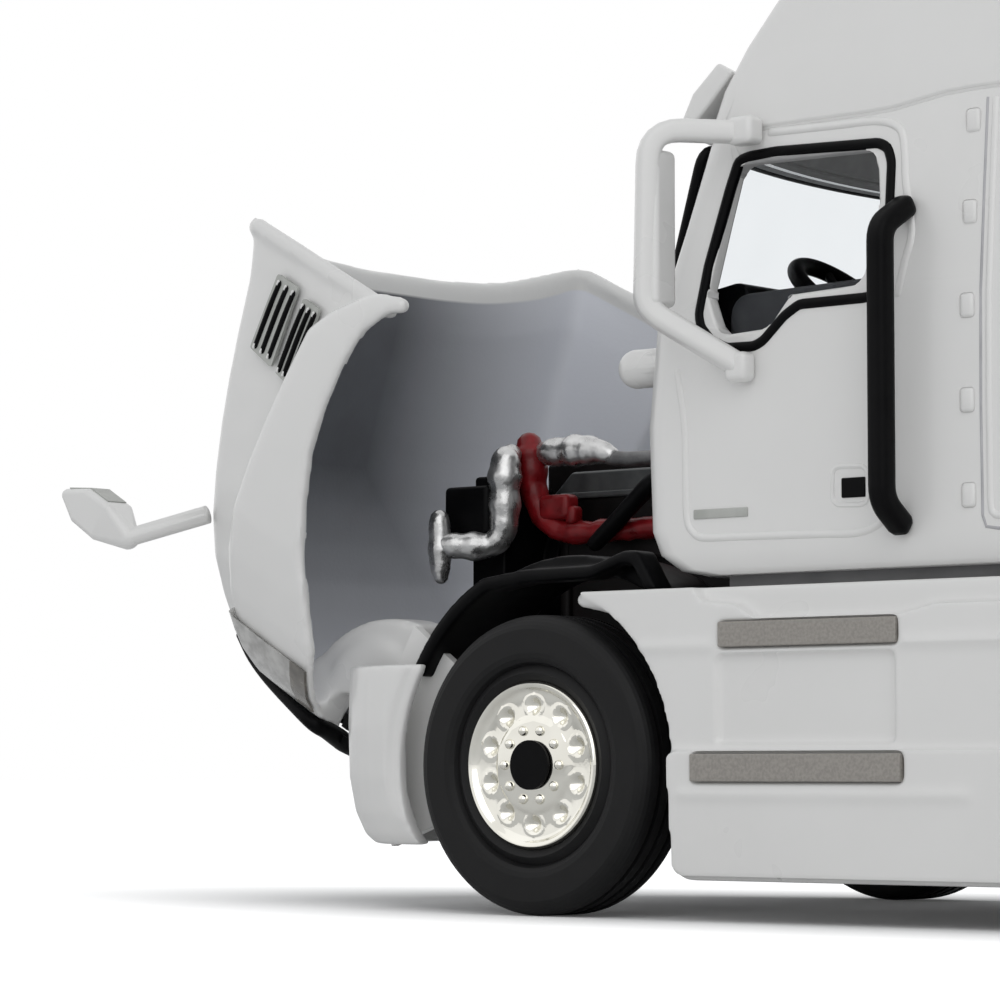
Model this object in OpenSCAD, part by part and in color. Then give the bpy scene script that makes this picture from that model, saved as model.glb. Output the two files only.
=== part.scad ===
// Semi truck tractor unit, a 1:50 cast model with a tilting hood.
// Millimetres. X runs forward, Y to the driver's side, Z up, and the wheels stand on Z = 0.

/* [Wheels] */
// Outside diameter of every tyre
tyre_d = 20.6; // [19.6:0.1:21.4]
// Width of one tyre
tyre_w = 5.6; // [5:0.1:5.8]
// Diameter of the seat between rim and tyre
rim_d = 11.6; // [10.8:0.1:12.4]
// Diameter of the steel axle pins
pin_d = 1.6; // [1.2:0.1:1.8]
// Radial running clearance round the pins
run_gap = 0.05; // [0.03:0.01:0.09]
// Clearance of a pressed or glued seat
seat_gap = 0.02; // [0.01:0.01:0.05]
// Outside face of the front tyres from the centre line
front_face_y = 24; // [23.6:0.1:24.4]
// Outside face of the rear tyres from the centre line
rear_face_y = 24.2; // [23.8:0.1:24.6]
// Gap between the tyres of a pair
twin_gap = 0.8; // [0.5:0.1:1.2]
// Gap between the front tyres and the arches round them
arch_gap = 2; // [1.6:0.1:2.4]
// Depth of the rear discs behind the front ones
rear_dish = 2.4; // [1.8:0.1:2.6]
// Hand holes in one rim, and wheel nuts
rim_holes = 10; // [6:1:10]
// Radius of one hand hole
hole_r = 0.8; // [0.5:0.05:0.95]
// Across-corners diameter of one wheel nut
nut_d = 0.8; // [0.5:0.05:1]

/* [Chassis] */
// Front axle to the middle of the rear pair
wheelbase = 110; // [106:0.5:116]
// Distance between the two rear axles
axle_gap = 26.2; // [24:0.2:30]
// Outside of the frame rails from the centre line
rail_y = 8.5; // [8:0.1:9]
// Height of a frame rail
rail_h = 5.4; // [5:0.1:5.8]
// Top of the frame rails
rail_top_z = 19.2; // [19:0.1:19.8]
// Plate thickness of the rails
rail_t = 0.7; // [0.5:0.05:0.9]
// Flange width of the rails
rail_flange = 1.8; // [1.4:0.1:2.2]
// Frame behind the last axle
frame_tail = 14.5; // [13.8:0.1:17]
// Wall of the bumper casting
bumper_wall = 1.3; // [1:0.05:1.5]

/* [Hood] */
// Angle of the open hood
hood_open = 60; // [50:1:62]
// Hood hinge ahead of the front axle
hinge_x = 20; // [19.6:0.1:20.4]
// Height of the hood hinge
hinge_z = 15; // [14.8:0.1:15.4]
// Wall of the hood casting
hood_wall = 0.9; // [0.7:0.05:1]
// Radius of the hood's shoulder
shoulder_r = 2.2; // [1.6:0.1:2.6]
// Rounding of the fender's top
fender_r = 1.7; // [1.2:0.1:2]
// Radius of the raised half disc round the hinge
boss_r = 4.4; // [4:0.1:4.8]

/* [Cab] */
// Wall of the cab casting
cab_wall = 1.2; // [1:0.05:1.4]
// Rounding of the cab's upright front corners
cab_corner_r = 2.4; // [2:0.1:2.8]
// Back wall of the sleeper
sleeper_rear_x = -71.4; // [-74:0.2:-69]
// Thickness of the window insert
glass_t = 0.5; // [0.4:0.05:0.6]
// Gap between two castings or panels
panel_gap = 0.3; // [0.2:0.05:0.4]

/* [Hidden] */
$fn = 48;
axle_z = tyre_d / 2;
front_wheel_y = front_face_y - tyre_w / 2;
rear_outer_y = rear_face_y - tyre_w / 2;
rear_inner_y = rear_outer_y - tyre_w - twin_gap;
rear_1_x = -wheelbase + axle_gap / 2;
rear_2_x = -wheelbase - axle_gap / 2;
frame_end_x = rear_2_x - frame_tail;
rail_bottom_z = rail_top_z - rail_h;
frame_front_x = hinge_x - 2;
pin_r = pin_d / 2;
rim_r = rim_d / 2 - seat_gap;
rim_lip = 0.65;
disc_rise = 0.35;
hole_depth = 0.7;
arch_r = tyre_d / 2 + arch_gap;
bumper_front_x = hinge_x + 3.2;
bumper_low_z = 12.9;
bumper_end_y = 19.2;
fairing_top_z = 22;
fairing_back_x = sleeper_rear_x + 3.4;
fifth_x = -wheelbase + 4;
fifth_reach = 8;
// Foremost corner of a hood mirror, hood closed
mirror_tip = [19.8, 46.9];
mirror_r = 0.5;
front_reach_x = hinge_x + (mirror_tip[0] - hinge_x) * cos(hood_open)
    + (mirror_tip[1] - hinge_z) * sin(hood_open) + mirror_r;
origin_x = (front_reach_x + frame_end_x) / 2;

function arc(c, r, a0, a1, n) = [for (i = [0:n]) let (a = a0 + (a1 - a0) * i / n) c + r * [cos(a), sin(a)]];
function unit(v) = v / norm(v);
function flip(list) = [for (i = [len(list) - 1:-1:0]) list[i]];
function turned(p, a) = [p[0] * cos(a) - p[1] * sin(a), p[0] * sin(a) + p[1] * cos(a)];
// One corner of an outline, rounded
function corner(p, q, s, r, n) = let (u = unit(p - q), v = unit(s - q), h = acos(u * v) / 2,
        c = q + unit(u + v) * r / sin(h), a = q + u * r / tan(h), b = q + v * r / tan(h),
        a0 = atan2(a[1] - c[1], a[0] - c[0]), a1 = atan2(b[1] - c[1], b[0] - c[0]),
        turn = a1 - a0 > 180 ? a1 - a0 - 360 : a1 - a0 < -180 ? a1 - a0 + 360 : a1 - a0)
    arc(c, r, a0, a0 + turn, n);
// Outline with a radius at each corner, rows of [x, y, radius]
function rounded(pts, n = 5) = [for (i = [0:len(pts) - 1])
    let (m = len(pts), p = pts[(i + m - 1) % m], q = pts[i], s = pts[(i + 1) % m])
        each q[2] == 0 ? [[q[0], q[1]]] : corner([p[0], p[1]], [q[0], q[1]], [s[0], s[1]], q[2], n)];

module place() { translate([-origin_x, 0, 0]) children(); }
module both() {
    children();
    mirror([0, 1, 0]) children();
}
// Outline in X and Z, from y0 to y1
module prism_y(pts, y0, y1) {
    translate([0, y1, 0]) rotate([90, 0, 0]) linear_extrude(y1 - y0) polygon(pts);
}
// Outline in Y and Z, from x0 to x1
module prism_x(pts, x0, x1) {
    translate([x0, 0, 0]) rotate([90, 0, 90]) linear_extrude(x1 - x0) polygon(pts);
}
module box(x0, x1, y0, y1, z0, z1) { translate([x0, y0, z0]) cube([x1 - x0, y1 - y0, z1 - z0]); }
module rod_y(x, z, r, y0, y1) { translate([x, y0, z]) rotate([-90, 0, 0]) cylinder(r = r, h = y1 - y0); }
module rod(p, q, r) {
    d = q - p;
    translate(p) rotate([0, acos(d[2] / norm(d)), atan2(d[1], d[0])]) cylinder(r = r, h = norm(d));
}
// Tube through a list of points, with ball corners
module pipe(pts, r) {
    for (i = [0:len(pts) - 2]) rod(pts[i], pts[i + 1], r);
    for (i = [1:len(pts) - 2]) translate(pts[i]) sphere(r = r + seat_gap);
}

// Wall between an outer and an inner skin, both as rows of points.
// ring joins the ends of each row, lid closes the last row.
module skin(outer, inner, ring, lid) {
    k = len(outer);
    m = len(outer[0]);
    e = ring ? m : m - 1;
    o = k * m;
    b = o - m;
    c = m - 1;
    pts = [each [for (row = outer, p = row) p], each [for (row = inner, p = row) p]];
    quads = [
        for (j = [0:k - 2], i = [0:e - 1]) let (n = (i + 1) % m, a = j * m)
            each [[a + i, a + n, a + m + n, a + m + i], [o + a + i, o + a + m + i, o + a + m + n, o + a + n]],
        for (i = [0:e - 1]) let (n = (i + 1) % m) [i, o + i, o + n, n],
        if (!lid) for (i = [0:e - 1]) let (n = (i + 1) % m) [b + i, b + n, o + b + n, o + b + i],
        if (!ring) for (j = [0:k - 2]) let (a = j * m)
            each [[a, a + m, o + a + m, o + a], [a + c, o + a + c, o + a + m + c, a + m + c]]];
    caps = lid ? [for (i = [1:m - 2]) each [[b, b + i + 1, b + i], [o + b, o + b + i, o + b + i + 1]]] : [];
    polyhedron(pts, concat([for (q = quads) each [[q[0], q[2], q[1]], [q[0], q[3], q[2]]]], caps), 8);
}

// Tyre section, radius and width
function tyre_section() = let (r = tyre_d / 2, b = rim_d / 2, h = tyre_w / 2, d = r - b, g = 0.42,
        side = d / 5, shoulder = d * 4 / 15, mid = b + d * 0.42, flat = (h - shoulder) * 0.72)
    concat([[b, -h * 0.82], [b + d / 9, -h * 0.93]], arc([mid, -h + side], side, 200, 270, 3),
        arc([r - shoulder, -h + shoulder], shoulder, -80, -10, 5),
        [for (c = [-flat, 0, flat])
            each [[r, c - g / 2], [r - g, c - g / 2], [r - g, c + g / 2], [r, c + g / 2]]],
        arc([r - shoulder, h - shoulder], shoulder, 10, 80, 5), arc([mid, h - side], side, 90, 160, 3),
        [[b + d / 9, h * 0.93], [b, h * 0.82]]);
module tyre(y) {
    translate([0, y, 0]) rotate([-90, 0, 0]) rotate_extrude() polygon(tyre_section());
}
// Outside of a wheel disc from the middle of its tyre
function disc_y(dish) = tyre_w / 2 - rim_lip - dish;
// Disc wheel, outside towards +Y, its disc set in by dish
module rim(y, dish) {
    face = disc_y(dish);
    bore = pin_r + seat_gap;
    h = tyre_w / 2;
    translate([0, y, 0]) rotate([-90, 0, 0]) difference() {
        union() {
            rotate_extrude() polygon([[bore, face - 1.8], [1.9, face - 1.8], [1.9, face - 1.1],
                [rim_r - 0.6, face - 1.1], [rim_r - 0.6, -h + 0.6], [rim_r, -h + 0.6], [rim_r, h - 0.4],
                [rim_r - 0.25, h - 0.15], [rim_r - 0.55, h - 0.4], [rim_r - 0.7, face],
                [3.3, face + 0.15], [3.1, face + disc_rise], [bore, face + disc_rise]]);
            for (i = [0:rim_holes - 1]) rotate([0, 0, (i + 0.5) * 360 / rim_holes])
                translate([2.45, 0, face + 0.3]) cylinder(d = nut_d, h = 0.4, $fn = 6);
        }
        for (i = [0:rim_holes - 1]) rotate([0, 0, i * 360 / rim_holes])
            translate([4.05, 0, face - hole_depth]) cylinder(r = hole_r, h = 2.5);
    }
}
module at_axle(x) { translate([x, 0, axle_z]) children(); }

module front_tyres() { color("#1c1d1f") at_axle(0) both() tyre(front_wheel_y); }
module front_rims() { color("#c9cccf") at_axle(0) both() rim(front_wheel_y, 0); }
module front_axle() {
    face = front_wheel_y + disc_y(0) + disc_rise;
    color("#202124") at_axle(0) union() {
        rod_y(0, 0, pin_r, -face + 0.1, face - 0.1);
        both() rod_y(0, 0, 1.7, face + 0.05, face + 0.25);
        both() rod_y(0, 0, pin_r - 0.1, face - 0.3, face + 0.2);
    }
}
module rear_tyres(x) {
    color("#1c1d1f") at_axle(x) both() {
        tyre(rear_outer_y);
        tyre(rear_inner_y);
    }
}
module rear_rims(x) {
    color("#c9cccf") at_axle(x) both() {
        rim(rear_outer_y, rear_dish);
        translate([0, 2 * rear_inner_y, 0]) mirror([0, 1, 0]) rim(rear_inner_y, rear_dish);
    }
}
module rear_axle(x) {
    face = rear_outer_y + disc_y(rear_dish) + disc_rise;
    color("#202124") at_axle(x) union() {
        rod_y(0, 0, pin_r, -face - 1.5, face + 1.5);
        both() rod_y(0, 0, 1.45, face + 0.2, face + 1.8);
    }
}

module frame() {
    bars = [12.6, -9.4, -32, -60, -84, -wheelbase, frame_end_x + 1.6];
    color("#2a2b2e") union() {
        both() difference() {
            box(frame_end_x, frame_front_x, rail_y - rail_flange, rail_y, rail_bottom_z, rail_top_z);
            box(frame_end_x - 1, frame_front_x + 1, rail_y - rail_flange - 1, rail_y - rail_t,
                rail_bottom_z + rail_t, rail_top_z - rail_t);
        }
        for (x = bars) box(x - 1, x + 1, -rail_y + rail_t / 2, rail_y - rail_t / 2,
            rail_bottom_z + rail_t, rail_top_z - rail_t);
    }
}
// Axle tube with its spring seats, bored for a pin
module axle_tube(x, half, r, drop) {
    translate([x, 0, 0]) difference() {
        union() {
            rod_y(0, axle_z, r, -half, half);
            both() box(-1.6, 1.6, rail_y - rail_flange + 0.1, rail_y - 0.2, axle_z - drop, rail_bottom_z);
            both() box(-6.5, 6.5, rail_y - rail_flange + 0.3, rail_y - 0.4, axle_z + 1.7, axle_z + 2.3);
            children();
        }
        rod_y(0, axle_z, pin_r + run_gap, -half - 1, half + 1);
    }
}
module front_axle_beam() {
    color("#2a2b2e") axle_tube(0, front_wheel_y - tyre_w / 2 - 0.7, 1.5, 1);
}
module rear_axle_housings() {
    color("#2a2b2e") for (x = [rear_1_x, rear_2_x])
        axle_tube(x, rear_inner_y - tyre_w / 2 - 0.7, 1.7, 1.4) translate([0, 0, axle_z]) sphere(r = 3.6);
}
// Fixed bar the hood turns on, with its brackets on the rails
module hinge_bar() {
    color("#2a2b2e") union() {
        rod_y(hinge_x, hinge_z, pin_r, -18.9, 18.9);
        both() box(frame_front_x, bumper_front_x - bumper_wall - 2 * panel_gap, rail_y - rail_flange, rail_y,
            8.4, hinge_z + 1.4);
    }
}

// Bumper levels: [height, set-back of the outside]
bumper_levels = [[4.7, 2.6], [5.4, 1.6], [7, 0.7], [9.4, 0.15], [13.2, 0], [17.4, 0.15]];
bumper_back_x = 10.4;
bumper_half = 24;
function bumper_row(lv, inset) = let (n = 36, back = bumper_back_x, front = bumper_front_x - lv[1] - inset,
        half = bumper_half - lv[1] * 0.5 - inset)
    [for (i = [0:n]) let (a = -90 + 180 * i / n)
        [back + (front - back) * pow(max(0, 1 - pow(abs(sin(a)), 3.2)), 1 / 3.2), half * sin(a), lv[0]]];
module bumper() {
    color("#f1efe9") difference() {
        skin([for (lv = bumper_levels) bumper_row(lv, 0)],
            [for (lv = bumper_levels) bumper_row(lv, bumper_wall)], false, false);
        box(9, 30, -bumper_end_y, bumper_end_y, bumper_low_z, 30);
        both() box(20, 26, 8.6, 14.5, 7.4, 9.4);
        rod_y(0, axle_z, arch_r + 0.1, -30, 30);
        both() rod_y(0, axle_z, arch_r + 1, bumper_half - 0.5, 30);
    }
}
// Black arch over each front wheel: the arch, and a lip that reaches back to the cab
module liners() {
    out_r = arch_r + 2.3;
    in_r = arch_r + 1.2;
    top = axle_z + arch_r + 1.4;
    lip_out = [[2.4, -0.1], [-3.6, 0], [-6.4, 0.9], [-7.6, 0.8], [-8, 0.1], [-9.2, -1.8]];
    lip_in = [[-8.3, -2.2], [-7.1, -0.2], [-6.2, -0.1], [-3.4, -1], [2.2, -1.1]];
    lip = concat(arc([0, axle_z], out_r, 27, 64, 8), [for (p = lip_out) p + [0, top]],
        [for (p = lip_in) p + [0, top]], arc([0, axle_z], in_r, 64, 27, 8));
    arch = concat(arc([0, axle_z], out_r, 33, 140, 18), arc([0, axle_z], in_r, 140, 33, 18));
    color("#1f2022") both() union() {
        prism_y(arch, 13.2, 19.6);
        prism_y(lip, 19.4, 21.7);
        for (x = [-11, 11]) box(x - 0.5, x + 0.5, rail_y, 13.6, axle_z + 8, axle_z + 9.1);
    }
}
function fairing_outline() = let (tip = 180 - asin((fairing_top_z - axle_z) / arch_r), back = fairing_back_x)
    concat([[arch_r * cos(tip), fairing_top_z], [back + 1, fairing_top_z]],
        rounded([[back, fairing_top_z, 0], [back, 2.7, 2], [-arch_r - 0.6, 2.7, 1],
            [-arch_r - 0.1, axle_z - 0.3, 0]], 6),
        flip(arc([0, axle_z], arch_r, tip + 4, 178, 14)));
// Step treads: [back x, front x, lower z, upper z, seat y, face y]
treads = [[-30.5, -16.4, 18, 19.65, 23.4, 24.2], [-31.2, -14.5, 9.2, 11, 24, 24.8]];
tread_gap = 0.05;
module tread_box(t, gap, face) { box(t[0] - gap, t[1] + gap, t[4], face, t[2] - gap, t[3] + gap); }
// Side skirt with a set-back top ledge, a recess between the steps and a proud lower board
module fairing() {
    front = -arch_r;
    back = fairing_back_x;
    ledge = [[-14.2, 23], [-14.4, 21.6], [-15, 21.1], [-17.7, 20.8], [-18.7, 20.2], [-19.3, 19.8],
        [-30.4, 19.8], [-33.1, 20.4], [back - 1, 20.5], [back - 1, 23]];
    recess = [[-16.1, 17.6, 0.5], [-30.3, 17.6, 0.5], [-30.3, 11.6, 0.3], [-16.1, 11.6, 0.3]];
    board = [[front + 0.1, 11.2, 0.6], [back + 0.4, 11.2, 0.6], [back + 0.4, 3, 1.6], [front - 0.5, 3, 0.8]];
    difference() {
        union() {
            prism_y(fairing_outline(), 22.4, 24);
            prism_y(rounded(board, 4), 23.8, 24.6);
            box(back + 1, front - 1.1, 20.4, 22.6, 20.4, 21.6);
        }
        prism_y(ledge, 23.1, 26);
        prism_y(rounded(recess, 4), 23.5, 26);
        for (t = treads) tread_box(t, tread_gap, 26);
        rod_y(0, axle_z, arch_r, 20, 26);
    }
}
module fairing_left() { color("#f1efe9") fairing(); }
module fairing_right() { color("#f1efe9") mirror([0, 1, 0]) fairing(); }
module step_treads() { color("#9d978f") both() for (t = treads) tread_box(t, 0, t[5]); }
module fuel_tanks() {
    color("#8d9094") both() union() {
        rod([-64, 16.4, 11.8], [-36, 16.4, 11.8], 5.2);
        for (x = [-58, -42]) box(x - 1, x + 1, rail_y, 12.6, rail_bottom_z + 0.4, 17);
    }
}
module deck_plate() {
    color("#55585c") box(fifth_x + fifth_reach + 3, sleeper_rear_x - 1.6, -rail_y - 2.4, rail_y + 2.4,
        rail_top_z, rail_top_z + 0.8);
}
module fifth_wheel() {
    x = fifth_x;
    top = rail_top_z + 5.4;
    leg = [[x - 3, rail_top_z + 0.5], [x + 3, rail_top_z + 0.5], [x + 1.8, top - 1], [x - 1.8, top - 1]];
    throat = [[x, 1.15], [x, -1.15], [x - 3, -1.4], [x - 12, -5], [x - 12, 5], [x - 3, 1.4]];
    color("#232427") difference() {
        union() {
            translate([x, 0, top - 1.3]) intersection() {
                cylinder(r = 9.2, h = 1.3);
                box(-7.6, fifth_reach, -9.2, 9.2, 0, 1.3);
            }
            box(x - 3.4, x + 3.4, -rail_y, rail_y, rail_top_z, rail_top_z + 0.9);
            both() prism_y(leg, 5.6, 7.4);
        }
        translate([x, 0, top - 3]) cylinder(r = 1.2, h = 5);
        translate([0, 0, top - 3]) linear_extrude(5) polygon(throat);
    }
}
module mud_flaps() {
    color("#1f2022") both() union() {
        box(frame_end_x + 1, frame_end_x + 1.8, rail_y, 23.6, 15.4, 16.6);
        box(frame_end_x + 1.1, frame_end_x + 1.7, 12.6, 23.6, 4.2, 15.8);
    }
}
module tail_lamps() {
    color("#a3161a") both() for (y = [3.2, 6])
        translate([frame_end_x + 0.05, y, 16.5]) rotate([0, 90, 0]) cylinder(r = 0.95, h = 0.5);
}

module engine_block() {
    riser = [[11.8, 26.2, 0], [14.6, 27.4, 0], [14.6, 34.6, 0.8], [11.8, 34.2, 0.5]];
    color("#6e2222") union() {
        box(-4.2, 12.6, -4.2, 4.2, 19.6, 28.2);
        box(-4.2, 11.2, -2.8, 2.8, 15, 20);
        box(12.5, 13.4, -4.6, 4.6, 20.2, 31);
        box(-3.4, 11.9, 4.1, 7, 26.2, 28.9);
        prism_y(rounded(riser, 3), 5.2, 7.6);
    }
}
module rocker_cover() {
    color("#77797c")
        prism_x(rounded([[-3.4, 28.2, 0], [3.9, 28.2, 0], [3.9, 31.8, 0.7], [-3.4, 31.8, 0.7]], 4), -4, 9.3);
}
module radiator() {
    color("#1d1e20") union() {
        box(15, 18.2, -9, 9, 19.4, 31);
        rod([13.6, 0, 25], [15.1, 0, 25], 4.6);
    }
}
module charge_pipes() {
    bend = [18.4, 12.4, 26.2];
    color("#b9bcc0") union() {
        rod(bend - [0, 0, 2.3], bend + [0, 0, 3], 0.97);
        pipe([bend, [14.2, 10, 26.2], [14, 9.7, 32.4], [13.4, 8.4, 33.4]], 0.95);
        rod([11.5, 6.4, 33.2], [5.8, 6.4, 33.2], 1.2);
    }
}
module hoses() {
    color("#1b1c1e") {
        rod([2, 7.9, 30.3], [7, 7.9, 26.8], 0.7);
        rod([5.5, 6.4, 33], [-0.4, 6.3, 32.6], 0.7);
    }
}

// Cab levels: [height, front at the middle, front at the side, half width]
cab_levels = [
    [22.9, -10.4, -12.4, 21.5],
    [23.3, -7.8, -10.4, 21.8],
    [24.4, -5.8, -8.8, 22],
    [26, -5.1, -8.1, 22],
    [33, -5, -7.9, 22.1],
    [40.2, -5.5, -8.6, 22],
    [46.5, -7.7, -10.75, 21.5],
    [52.6, -9.4, -12.6, 20.9]];
belt = cab_levels[5];
cab_top = cab_levels[7];
function cab_at(z) = [z, for (c = [1:3]) lookup(z, [for (lv = cab_levels) [lv[0], lv[c]]])];
// Roof levels: [height, front at the middle, front at the side, half width, back]
roof_levels = [
    [52.6, -9.3, -12.4, 21.1, 0],
    [55.6, -10.3, -13.6, 21, 0],
    [58.4, -12, -15.4, 20.8, 0],
    [61.4, -14.5, -17.9, 20.6, 0],
    [64, -16.7, -20.2, 20.4, 0],
    [68, -20.2, -24.2, 20, 0.2],
    [72, -24.6, -29.4, 19, 0.6],
    [74.8, -29.2, -35.2, 17.2, 1.4],
    [76.4, -34.2, -41.4, 14.6, 3],
    [77, -39.8, -47.6, 11, 6]];
// Rise of the seam between cab and roof, behind the door
seam_step = 0.7;
function seam_rise(x) = let (t = min(1, max(0, (-27 - x) / 7))) seam_step * t * t * (3 - 2 * t);
// Half outline at one level, front middle to back, set in by inset
function plan_half(lv, inset, back) = let (w = lv[3] - inset, rc = max(0.8, cab_corner_r - inset),
        rr = max(0.6, 1.8 - inset), xs = lv[2] - inset, xm = lv[1] - inset,
        xe = xs - rc * (1 - cos(20)), ye = w - rc * (1 - sin(20)), n = 8)
    concat([for (i = [0:n - 1]) let (t = i / n) [xm + (xe - xm) * t * t, ye * t]],
        arc([xs - rc, w - rc], rc, 20, 90, 6),
        [for (k = [1:5]) [min(-24.5 - 2 * k, xs - rc - 0.5 * k), w]],
        arc([back + inset + rr, w - rr], rr, 90, 180, 5));
function plan_ring(lv, inset, back) = let (h = plan_half(lv, inset, back))
    let (z = [for (p = h) lv[0] + (lv[0] == cab_top[0] ? seam_rise(p[0]) : 0)])
    [each [for (i = [0:len(h) - 1]) [h[i][0], h[i][1], z[i]]],
        each [for (i = [len(h) - 1:-1:1]) [h[i][0], -h[i][1], z[i]]]];
window = rounded([[-15.1, 51.3, 1.2], [-28.2, 51, 1.2], [-28.9, 46, 3], [-27.5, 40.7, 1], [-20.7, 39.9, 1],
    [-18.6, 37.9, 1], [-14.2, 38, 1.2], [-12.8, 41.2, 1.2]], 4);
window_mid = [-21, 44.8];
function shrink(pts, d) = [for (p = pts) let (v = p - window_mid) p - unit(v) * d];
screen = rounded([[-18.2, 41.6, 1.4], [18.2, 41.6, 1.4], [17, 51.8, 1.4], [-17, 51.8, 1.4]], 5);
module cab_shell() {
    peg = [-4.1, 17, 37.75];
    peg_r = 1.35;
    color("#f1efe9") difference() {
        union() {
            skin([for (lv = cab_levels) plan_ring(lv, 0, sleeper_rear_x)],
                [for (lv = cab_levels) plan_ring(lv, cab_wall, sleeper_rear_x)], true, false);
            both() rod(peg - [3.9, 0, 0], peg, peg_r);
            both() translate(peg) sphere(r = peg_r + seat_gap);
        }
        prism_y(shrink(window, 1.2), -30, 30);
        prism_x(screen, -20, 5);
    }
}
module roof() {
    color("#f1efe9") skin([for (lv = roof_levels) plan_ring(lv, 0, sleeper_rear_x + lv[4])],
        [for (lv = roof_levels) [for (p = plan_ring(lv, cab_wall, sleeper_rear_x + lv[4]))
            [p[0], p[1], p[2] - (lv[0] > cab_top[0] ? cab_wall * 0.8 : 0)]]], true, true);
}
// Blade over the windscreen, its section set ahead of the roof's front
module visor() {
    section = [[1.1, 57.1], [2.4, 57.9], [4.6, 56], [5.9, 53.6], [5.2, 53.2], [3.1, 55.1]];
    ends = [[0, 1, 2], [0, 2, 5], [5, 2, 3], [5, 3, 4]];
    lv = roof_levels[2];
    n = 12;
    m = len(section);
    rows = [for (i = [0:n]) let (y = -19.4 + 38.8 * i / n, x = lv[1] + (lv[2] - lv[1]) * pow(y / 19.4, 2))
        [for (p = section) [x + p[0], y, p[1]]]];
    color("#f1efe9") polyhedron([for (r = rows, q = r) q],
        [for (k = [0:n - 1], i = [0:m - 1]) let (a = k * m, j = (i + 1) % m)
            each [[a + i, a + m + j, a + j], [a + i, a + m + i, a + m + j]],
            for (f = ends) each [f, [n * m + f[0], n * m + f[2], n * m + f[1]]]], 6);
}
floor_z = 23.1;
module cab_floor() { color("#6a6c70") box(-69, -14.2, -19.9, 19.9, rail_top_z, floor_z); }
module interior() {
    panel = rounded([[-14.2, 24, 0], [-34, 24, 0], [-34, 42.3, 1], [-14.2, 41.8, 1.5]], 4);
    color("#2c2c2f") union() {
        box(-69.6, -14.4, -20, 20, floor_z, 24);
        both() prism_y(panel, 19, 19.7);
        box(-69.6, -50, -19.6, 19.6, 23.9, 35);
    }
}
module seats() {
    rest = rounded([[-28.6, 31.2, 0], [-31.2, 31.2, 0], [-33.6, 44.4, 0.8], [-31.6, 44.6, 0.8]], 4);
    color("#3a3b3e") both() union() {
        box(-30.4, -22.6, 8.6, 16.2, 24, 31.4);
        prism_y(rest, 9, 15.8);
    }
}
module dash() {
    section = [[-10.8, 24, 0], [-14.2, 24, 0], [-15.2, 38, 1], [-14.6, 43, 1], [-11.6, 42.5, 0.8]];
    color("#2c2c2f") prism_y(rounded(section, 4), -18.4, 18.4);
}
module steering_wheel() {
    color("#161719") translate([-16.6, 10.4, 42.5]) rotate([0, -40, 0]) union() {
        rotate_extrude() translate([3.5, 0]) circle(r = 0.6);
        for (a = [90, 210, 330]) rotate([0, 0, a]) rod([0, 0, 0], [3.4, 0, 0], 0.32);
        cylinder(r = 0.9, h = 0.8, center = true);
        rod([0, 0, 0], [0, 0, -1.9], 0.5);
    }
}
// Clear insert behind the windscreen and the door windows
module window_insert() {
    inset = cab_wall + seat_gap;
    rows = [cab_at(37), cab_at(belt[0]), cab_at(46.5), cab_at(51.8)];
    function open_row(lv, d) = let (h = plan_half(lv, d, sleeper_rear_x),
            e = concat([for (i = [0:14]) h[i]], [[-30.6, lv[3] - d]]))
        [each [for (i = [15:-1:1]) [e[i][0], -e[i][1], lv[0]]], each [for (p = e) [p[0], p[1], lv[0]]]];
    color("#cfd6d8") skin([for (lv = rows) open_row(lv, inset)],
        [for (lv = rows) open_row(lv, inset + glass_t)], false, false);
}
module on_side() {
    tilt = atan((belt[3] - cab_top[3]) / (cab_top[0] - belt[0]));
    translate([0, belt[3] + seat_gap, belt[0]]) rotate([tilt, 0, 0]) translate([0, 0, -belt[0]]) children();
}
module window_seals() {
    color("#141516") both() on_side() difference() {
        prism_y(window, 0.05, 0.3);
        prism_y(shrink(window, 0.75), -1, 1);
    }
}
// Door mirrors: a bent tube from the roof's edge to the door, with the housing on it
module door_mirrors() {
    up = [-17.2, 22.1, 52.35];
    down = [-17.3, 23.2, 36.5];
    housing = rounded([[24.9, 41.2, 0.6], [27.2, 40.4, 0.6], [27.2, 51, 0.6], [25.2, 50.6, 0.9]], 4);
    color("#f1efe9") both() union() {
        rod([up[0], roof_levels[0][3] + 0.1, up[2]], up + [0, 0.6, 0], 1);
        pipe([up, [-12.9, 27, 52.3], [-12.6, 27, 40.8], [-13.2, 26.4, 39.9], down], 0.8);
        prism_x(housing, -13.7, -12.3);
        rod([down[0], 22.14, down[2]], down + [0, 0.5, 0], 1);
    }
}
module grab_handles() {
    x = -29.6;
    y = 24.2;
    color("#1b1c1e") both()
        pipe([[x - 0.4, 22.05, 46], [x, y, 44.6], [x, y, 27], [x - 0.2, 22.65, 25.6]], 0.8);
}

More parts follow.
